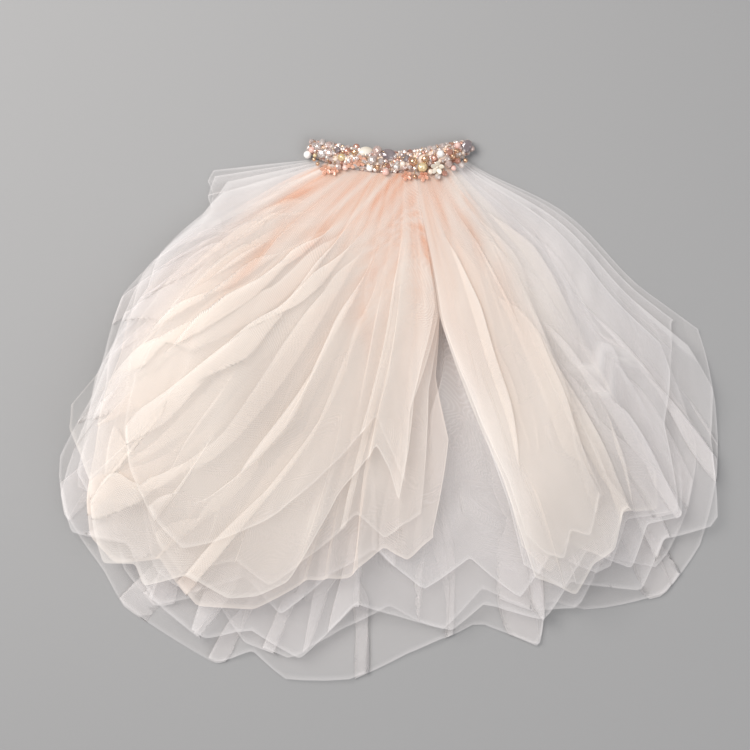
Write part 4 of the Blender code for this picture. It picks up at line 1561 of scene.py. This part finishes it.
BEADS = (
    Bead(Gem.PEARL, PEARL_WHITE, -54.6, 225.4, 6.2),
    Bead(Gem.PEARL, PEARL_BLUSH, -50.8, 229.4, 5.0),
    Bead(Gem.CRYSTAL, CLEAR, -45.3, 231.9, 6.4),
    Bead(Gem.CRYSTAL, CLEAR, -41.4, 236.0, 5.6),
    Bead(Gem.CRYSTAL, BLUSHED, -35.8, 233.4, 5.6),
    Bead(Gem.CRYSTAL, CLEAR, -41.8, 225.6, 7.6),
    Bead(Gem.CRYSTAL, BLUSHED, -35.4, 226.2, 6.6),
    Bead(Gem.PEARL, CHAMPAGNE, -48.8, 220.6, 3.2),
    Bead(Gem.PEARL, CHAMPAGNE, -45.6, 216.8, 3.2),
    Bead(Gem.PEARL, HONEY, -48.0, 224.0, 3.2),
    Bead(Gem.CRYSTAL, SMOKE, -28.4, 228.4, 5.2),
    Bead(Gem.PEARL, HONEY, -24.6, 222.2, 6.2),
    Bead(Gem.PEARL, PEARL_CREAM, -29.9, 221.3, 4.6),
    Bead(Gem.CRYSTAL, ROSE, -19.6, 227.4, 6.2),
    Bead(Gem.PEARL, PEARL_CREAM, -20.6, 220.9, 3.8),
    Bead(Gem.CRYSTAL, ROSE, -11.8, 231.8, 5.4),
    Bead(Gem.CRYSTAL, CHAMPAGNE, -13.4, 226.6, 5.2),
    Bead(Gem.CABOCHON, CREAM, -3.7, 227.4, 11.6, 8.4, 28.0),
    Bead(Gem.CRYSTAL, BLUSHED, 6.4, 228.4, 8.0),
    Bead(Gem.STONE, SMOKE, 16.3, 224.6, 12.0, 9.4, 14.0),
    Bead(Gem.CRYSTAL, CLEAR, 1.6, 219.6, 7.2),
    Bead(Gem.FLOWER, PEACH, -16.3, 216.9, 9.0, 0.0, 12.0),
    Bead(Gem.FLOWER, PEACH, -8.4, 218.8, 9.2, 0.0, 47.0),
    Bead(Gem.FLOWER, PEACH, -38.3, 212.5, 9.0, 0.0, 30.0),
    Bead(Gem.FLOWER, PEACH, -31.0, 211.2, 7.2, 0.0, 5.0),
    Bead(Gem.CRYSTAL, BLUSHED, -27.7, 214.3, 5.4),
    Bead(Gem.PEARL, PEARL_BLUSH, -21.6, 213.4, 4.6),
    Bead(Gem.PEARL, PEARL_WHITE, -0.2, 213.2, 5.4),
    Bead(Gem.PEARL, CHAMPAGNE, 6.6, 214.3, 3.8),
    Bead(Gem.PEARL, PEARL_BLUSH, 13.6, 209.6, 5.4),
    Bead(Gem.CRYSTAL, ROSE, 15.4, 214.7, 4.6),
    Bead(Gem.CRYSTAL, CLEAR, 9.7, 218.7, 5.6),
    Bead(Gem.CRYSTAL, ROSE, 21.8, 218.7, 4.2),
    Bead(Gem.CRYSTAL, CLEAR, 22.9, 213.8, 5.6),
    Bead(Gem.CRYSTAL, SMOKE, 30.6, 221.5, 6.4),
    Bead(Gem.PEARL, PEARL_CREAM, 28.6, 216.5, 4.6),
    Bead(Gem.PEARL, CHAMPAGNE, 37.8, 218.5, 7.0),
    Bead(Gem.FLOWER, PEACH, 31.7, 206.8, 8.4, 0.0, 20.0),
    Bead(Gem.PEARL, CHAMPAGNE, 39.4, 205.5, 3.6),
    Bead(Gem.FLOWER, PEACH, 46.6, 206.5, 8.6, 0.0, 50.0),
    Bead(Gem.CRYSTAL, HONEY, 45.8, 213.4, 8.0),
    Bead(Gem.CRYSTAL, CHAMPAGNE, 48.4, 220.5, 6.2),
    Bead(Gem.FLOWER, CREAM, 58.6, 213.8, 10.6, 0.0, 8.0),
    Bead(Gem.CRYSTAL, ROSE, 55.9, 221.3, 6.2),
    Bead(Gem.PEARL, PEARL_WHITE, 61.4, 225.3, 5.8),
    Bead(Gem.CRYSTAL, CLEAR, 59.0, 205.5, 5.2),
    Bead(Gem.CRYSTAL, ROSE, 65.1, 208.3, 4.6),
    Bead(Gem.PEARL, PEARL_CREAM, 52.8, 209.9, 4.4),
    Bead(Gem.CRYSTAL, ROSE, 69.5, 226.6, 5.4),
    Bead(Gem.PEARL, CHAMPAGNE, 72.6, 223.1, 5.2),
    Bead(Gem.CRYSTAL, BLUSHED, 68.6, 216.5, 6.2),
    Bead(Gem.PEARL, PEARL_BLUSH, 76.6, 232.8, 5.2),
    Bead(Gem.PEARL, CHAMPAGNE, 75.7, 227.9, 4.6),
    Bead(Gem.STONE, SMOKE, 84.4, 232.3, 10.4, 8.2, 52.0),
    Bead(Gem.CRYSTAL, ROSE, 76.6, 219.1, 4.8),
    Bead(Gem.PEARL, CHAMPAGNE, 83.4, 219.6, 3.6),
    Bead(Gem.CRYSTAL, CLEAR, 80.1, 215.6, 4.8),
    Bead(Gem.PEARL, PEARL_BLUSH, 73.0, 212.9, 4.2),
)


@dataclass
class Cluster:
    """Beads of one finish, joined as they are placed."""

    points: list[np.ndarray] = field(default_factory=list)
    faces: list[tuple[int, ...]] = field(default_factory=list)
    soft: list[bool] = field(default_factory=list)

    def add(self, points: np.ndarray, faces: list[tuple[int, ...]], soft: bool) -> None:
        """Join another bead.

        Args:
            points: Its points, in place.
            faces: Its faces.
            soft: Whether it is shaded smooth.
        """
        start = sum(len(grid) for grid in self.points)
        self.points.append(points)
        self.faces += [tuple(start + corner for corner in face) for face in faces]
        self.soft += [soft] * len(faces)

    def mesh(self, name: str) -> bpy.types.Mesh:
        """Make the joined beads a mesh.

        Args:
            name: The mesh's name.

        Returns:
            The mesh.
        """
        mesh = bpy.data.meshes.new(name)
        mesh.from_pydata(np.concatenate(self.points).tolist(), [], self.faces)
        mesh.polygons.foreach_set("use_smooth", self.soft)
        return mesh


@dataclass
class Headpiece:
    """The bent band under the comb line's beads: satin core, beads, seed beads and gilt wire."""

    fan: Fan
    heap: Heap
    width: float = 17.0 * MM
    bottom: float = 2.3 * MM
    edge: float = 3.5 * MM
    top: float = 15.0 * MM
    fullness: float = 0.33
    overhang: float = 5 * MM
    columns: int = 236
    sides: int = 16
    wraps: int = 52
    wrap_depth: float = 0.35 * MM
    wire: float = 0.5 * MM
    loops: int = 26
    bigger: float = 1.15

    def frame(self, along: np.ndarray) -> tuple[np.ndarray, np.ndarray, np.ndarray, np.ndarray]:
        """Points of the band's middle line, and the way across it towards the back.

        Args:
            along: Shares of the band's length.

        Returns:
            The x and y of the points and of the directions.
        """
        span = self.fan.span
        share = (along * (span + 2.0 * self.overhang) - self.overhang) / span
        x, y = self.fan.line(share)
        slope = 4.0 * self.fan.sag * (2.0 * share - 1.0) / span
        size = np.hypot(slope, 1.0)
        return x, y + 9.8 * MM, -slope / size, 1.0 / size

    def taper(self, along: np.ndarray) -> np.ndarray:
        """How much of its section the band keeps near its ends."""
        return 0.45 + 0.55 * np.sin(0.5 * pi * np.minimum(1.0, 0.04 + np.minimum(along, 1.0 - along) * 5.0))

    def height(self, along: np.ndarray, across: np.ndarray) -> np.ndarray:
        """The height of the core's outside.

        Args:
            along: Shares of the band's length.
            across: From -1 at the front edge to 1 at the back edge.

        Returns:
            The height in metres.
        """
        arch = np.sqrt(np.clip(1.0 - across ** 2, 0.0, 1.0))
        top = self.bottom + (self.top - self.bottom) * self.taper(along)
        return self.edge + (top - self.edge) * arch ** self.fullness

    def core(self) -> bpy.types.Mesh:
        """The satin-wrapped core, closed underneath and at its ends.

        Returns:
            Its mesh.
        """
        along, turn = np.meshgrid(np.linspace(0, 1, self.columns + 1), np.linspace(0, pi, self.sides + 1))
        x, y, way_x, way_y = self.frame(along)
        wrap = self.wrap_depth * np.abs(np.sin(pi * (self.wraps * along + 0.5 * turn / pi)))
        half = 0.5 * self.width * self.taper(along) - 0.6 * MM + wrap
        across = np.cos(turn)
        z = self.height(along, across) + wrap
        grid = np.stack((x - half * across * way_x, y - half * across * way_y, z), -1)
        low = np.stack((x[0], y[0], np.full(self.columns + 1, self.bottom)), -1)
        side = np.stack((half[0] * way_x[0], half[0] * way_y[0], 0.0 * x[0]), -1) * 0.92
        points = np.concatenate((grid, (low + side)[None], (low - side)[None]))
        rings = points.shape[0]
        corner = np.arange(rings * (self.columns + 1)).reshape(rings, self.columns + 1)
        after = np.roll(corner, -1, axis=0)
        faces = np.stack((corner[:, :-1], corner[:, 1:], after[:, 1:], after[:, :-1]), -1)
        faces = faces.reshape(-1, 4).tolist()
        faces.append(corner[:, 0].tolist())
        faces.append(corner[::-1, -1].tolist())
        mesh = bpy.data.meshes.new("band_core")
        mesh.from_pydata(points.reshape(-1, 3).tolist(), [], faces)
        mesh.shade_smooth()
        return mesh

    def seat(self, bead: Bead) -> tuple[np.ndarray, Vector]:
        """Where a bead sits and which way it faces.

        Args:
            bead: The bead.

        Returns:
            Its place, and the direction away from the band.
        """
        spot = np.array((bead.x * MM + self.fan.shift[0], bead.y * MM + self.fan.shift[1]))
        along = np.linspace(0, 1, 401)
        x, y, way_x, way_y = self.frame(along)
        near = int(np.argmin(np.hypot(x - spot[0], y - spot[1])))
        offset = (spot[0] - x[near]) * way_x[near] + (spot[1] - y[near]) * way_y[near]
        half = 0.5 * self.width * self.taper(along[near])
        across = float(np.clip(offset / half, -0.94, 0.94))
        radius = 0.5 * (bead.width or bead.length) * MM
        depth = {Gem.FLOWER: 0.35, Gem.CABOCHON: 0.35, Gem.STONE: 0.45}.get(bead.gem, 1.0) * radius
        z = float(self.height(along[near], across)) + 0.35 * depth
        if offset < -0.8 * half and 0.03 < along[near] < 0.97:
            z = max(z, float(self.heap.floor(4, *spot)) - 2.2 * MM + depth)
        lift = 0.55 * across ** 3
        away = Vector((way_x[near] * lift, way_y[near] * lift, 1.0)).normalized()
        return np.array((*spot, z)), away

    def shape(self, bead: Bead) -> tuple[np.ndarray, list[tuple[int, ...]], bool]:
        """A bead's own form, with its back at the origin's level.

        Args:
            bead: The bead.

        Returns:
            Its points in metres, its faces, and whether it is shaded smooth.
        """
        radius = 0.5 * self.bigger * bead.length * MM
        if bead.gem is Gem.FLOWER:
            return self.flower(radius)
        if bead.gem is Gem.CRYSTAL:
            profile = ((0.34, -0.86), (0.84, -0.52), (1.0, 0.0), (0.84, 0.52), (0.34, 0.86))
            points, faces = lathe(profile, 9, True)
            return points * radius, faces, False
        if bead.gem is Gem.STONE:
            profile = ((0.45, -0.70), (0.95, -0.12), (1.0, 0.10), (0.82, 0.52), (0.52, 0.72))
            points, faces = lathe(profile, 12, True)
            return points * (radius, 0.5 * self.bigger * bead.width * MM, 0.62 * radius), faces, False
        turns = np.linspace(-0.5 * pi, 0.5 * pi, 11)
        profile = tuple((max(0.05, float(np.cos(turn))), float(np.sin(turn))) for turn in turns)
        points, faces = lathe(profile, 18)
        if bead.gem is Gem.CABOCHON:
            return points * (radius, 0.5 * self.bigger * bead.width * MM, 0.48 * radius), faces, True
        return points * radius, faces, True

    def flower(self, radius: float) -> tuple[np.ndarray, list[tuple[int, ...]], bool]:
        """A five-petalled flower bead with cupped petals and a small round middle.

        Args:
            radius: The flower's radius in metres.

        Returns:
            Its points, its faces, and whether it is shaded smooth.
        """
        made = Cluster()
        turns = np.linspace(-0.5 * pi, 0.5 * pi, 8)
        profile = tuple((max(0.06, float(np.cos(turn))), float(np.sin(turn))) for turn in turns)
        ball, faces = lathe(profile, 12)
        for petal in range(5):
            points = ball * (0.43 * radius, 0.37 * radius, 0.09 * radius) + (0.57 * radius, 0.0, 0.0)
            out = np.hypot(points[:, 0], points[:, 1]) / radius
            points[:, 2] += radius * (0.50 * out ** 2 - 0.5 * (points[:, 1] / radius) ** 2 + 0.03 * petal)
            turn = Matrix.Rotation(petal * tau / 5, 3, "Z")
            made.add(points @ np.array(turn).T, faces, True)
        made.add(ball * 0.22 * radius + (0.0, 0.0, 0.16 * radius), faces, True)
        return np.concatenate(made.points), made.faces, True

    def beads(self) -> dict[BeadFinish, Cluster]:
        """Place every bead of the table.

        Returns:
            The joined beads of each finish.
        """
        rng = np.random.default_rng(21)
        clusters: dict[BeadFinish, Cluster] = {}
        for bead in BEADS:
            place, away = self.seat(bead)
            points, faces, soft = self.shape(bead)
            if bead.gem in (Gem.CRYSTAL, Gem.PEARL):
                away = (away + 0.7 * Vector(rng.uniform(-1, 1, 3).tolist())).normalized()
                turn = turned_by(away, float(rng.uniform(0, 360)))
            else:
                away = (away + 0.16 * Vector(rng.uniform(-1, 1, 3).tolist())).normalized()
                turn = turned_by(away, 0.0) @ np.array(Matrix.Rotation(radians(bead.turn), 3, "Z"))
            clusters.setdefault(bead.finish, Cluster()).add(points @ turn.T + place, faces, soft)
        return clusters

    def wires(self) -> bpy.types.Mesh:
        """Runs of edges for the gilt wire: one wound round the core, short loops and bead stalks.

        Returns:
            A mesh of edges.
        """
        rng = np.random.default_rng(22)
        runs = []
        turns = np.linspace(0, 1, WIRE_TURNS * WIRE_STEPS)
        angle = turns * WIRE_TURNS * tau
        x, y, way_x, way_y = self.frame(0.02 + 0.96 * turns)
        half = 0.5 * self.width * self.taper(turns)
        across = np.cos(angle)
        over = self.height(turns, across * 0.995) + 0.35 * MM
        z = np.where(np.sin(angle) > 0.0, over, self.bottom - 0.1 * MM)
        runs.append(np.stack((x - half * across * way_x, y - half * across * way_y, z), -1))
        for _ in range(self.loops):
            along = rng.uniform(0.04, 0.96)
            x, y, way_x, way_y = self.frame(along)
            across = rng.uniform(-0.9, 0.9)
            radius = rng.uniform(1.8, 3.4) * MM
            lean = rng.uniform(0, pi)
            turn = np.linspace(-0.35 * pi, 1.35 * pi, 17)
            sideways = radius * np.cos(turn)
            half = 0.5 * self.width * self.taper(along)
            foot = float(self.height(along, across))
            runs.append(np.stack((x + across * half * way_x + sideways * cos(lean),
                                  y + across * half * way_y + sideways * sin(lean),
                                  foot + radius * (0.7 + np.sin(turn))), -1))
        for bead in BEADS:
            place, _ = self.seat(bead)
            along = np.linspace(0.03, 0.97, 301)
            x, y, _, _ = self.frame(along)
            near = int(np.argmin(np.hypot(x - place[0], y - place[1])))
            root = np.array((x[near], y[near], 0.6 * place[2]))
            share = np.linspace(0, 1, 5)[:, None]
            runs.append(root + (place - root) * share)
        mesh = bpy.data.meshes.new("gilt_wire")
        edges = []
        start = 0
        for run in runs:
            edges += [(start + step, start + step + 1) for step in range(len(run) - 1)]
            start += len(run)
        mesh.from_pydata(np.concatenate(runs).tolist(), edges, [])
        return mesh

    def build(self) -> None:
        core = self.core()
        for label, finish, spacing, radius, pick in (
                ("seed_rose", ROSE, 6.0, 2.0, 3), ("seed_champagne", CHAMPAGNE, 5.4, 1.5, 5),
                ("seed_cream", PEARL_CREAM, 6.8, 1.7, 8), ("seed_clear", CLEAR, 4.8, 2.5, 13),
                ("seed_blush", BLUSHED, 5.2, 2.3, 17)):
            material = finish.material()
            mesh = grown(label, core, seed_bead_tree(), Spacing=spacing * MM, Radius=radius * MM,
                         Pick=pick, Finish=material)
            settle(make_object(label, mesh, material), Slot.BEADS)
        settle(make_object("band_core", core, RIBBON.material()), Slot.BEADS, "bead_band")
        for finish, cluster in self.beads().items():
            label = f"beads_{finish.name}"
            settle(make_object(label, cluster.mesh(label), finish.material()), Slot.BEADS)
        gilt = GILT.material()
        wire = grown("gilt_wire", self.wires(), wire_tree(), Thickness=self.wire, Finish=gilt)
        wire.shade_smooth()
        settle(make_object("gilt_wire", wire, gilt), Slot.GILT)


@dataclass(frozen=True)
class HairComb:
    """The flat gilt comb, which keeps its solid."""

    node: str = "comb"

    def dress(self) -> None:
        """Give the comb's solid the gilt finish."""
        solid = bpy.data.objects[self.node]
        gilt = GILT.material()
        for material_slot in solid.material_slots:
            material_slot.material = gilt


# The studio


@dataclass
class Studio:
    """Table top, lights and camera."""

    lens: float = 85.0
    sensor: float = 36.0
    frame_width: float = 660 * MM
    look_at: tuple[float, float] = (-10.7 * MM, 32.7 * MM)
    table_size: float = 6.0

    def build(self) -> None:
        """Lay the table top, hang the lights and set the camera."""
        self.table()
        self.lamp("key", (-0.85, 0.65, 1.40), 1.0, 29.5, (1.0, 0.985, 0.97))
        self.lamp("fill", (0.95, -0.55, 1.35), 1.3, 9.0, (0.97, 0.985, 1.0))
        world = bpy.data.worlds.new("studio")
        world.use_nodes = True
        world.node_tree.nodes["Background"].inputs[0].default_value = (0.92, 0.94, 1.0, 1.0)
        world.node_tree.nodes["Background"].inputs[1].default_value = 0.44
        bpy.context.scene.world = world
        self.camera()

    def table(self) -> None:
        """The plain table top at the height that the veil lies on."""
        half = 0.5 * self.table_size
        mesh = bpy.data.meshes.new("table_top")
        mesh.from_pydata([(-half, -half, 0), (half, -half, 0), (half, half, 0), (-half, half, 0)],
                         [], [(0, 1, 2, 3)])
        make_object("table_top", mesh, FloorFinish().material())

    def lamp(self, name: str, place: Point, size: float, power: float, colour: Colour) -> None:
        """Hang a square soft light that faces the veil.

        Args:
            name: The light's name.
            place: Where it hangs.
            size: Its side.
            power: Its power in watts.
            colour: Its colour.
        """
        light = bpy.data.lights.new(name, "AREA")
        light.energy, light.size, light.color = power, size, colour
        lamp = bpy.data.objects.new(name, light)
        lamp.location = place
        lamp.rotation_euler = (-Vector(place)).to_track_quat("-Z", "Y").to_euler()
        bpy.context.scene.collection.objects.link(lamp)

    def camera(self) -> None:
        """Hang the camera straight above the veil, with the comb at the top."""
        data = bpy.data.cameras.new("camera")
        data.lens, data.sensor_width = self.lens, self.sensor
        camera = bpy.data.objects.new("camera", data)
        height = self.frame_width * self.lens / self.sensor
        camera.location = (*self.look_at, height)
        camera.rotation_euler = (0.0, 0.0, 0.0)
        bpy.context.scene.collection.objects.link(camera)
        scene = bpy.context.scene
        scene.camera = camera
        scene.view_settings.view_transform = "Standard"
        scene.cycles.transparent_max_bounces = 96


def main() -> None:
    """Build the veil's looks round the frame."""
    logging.basicConfig(level=logging.INFO, format="%(name)s %(message)s")
    low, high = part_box("comb")
    fan = Fan((0.5 * (low[0] + high[0]) - Fan.middle, low[1] - COMB_FRONT))
    heap = Heap(fan)
    for pattern in PATTERNS:
        ply = TullePly(pattern, fan, heap)
        ply.finish(ply.build())
    Headpiece(fan, heap).build()
    HairComb().dress()
    Studio().build()


if __name__ == "__main__":
    main()
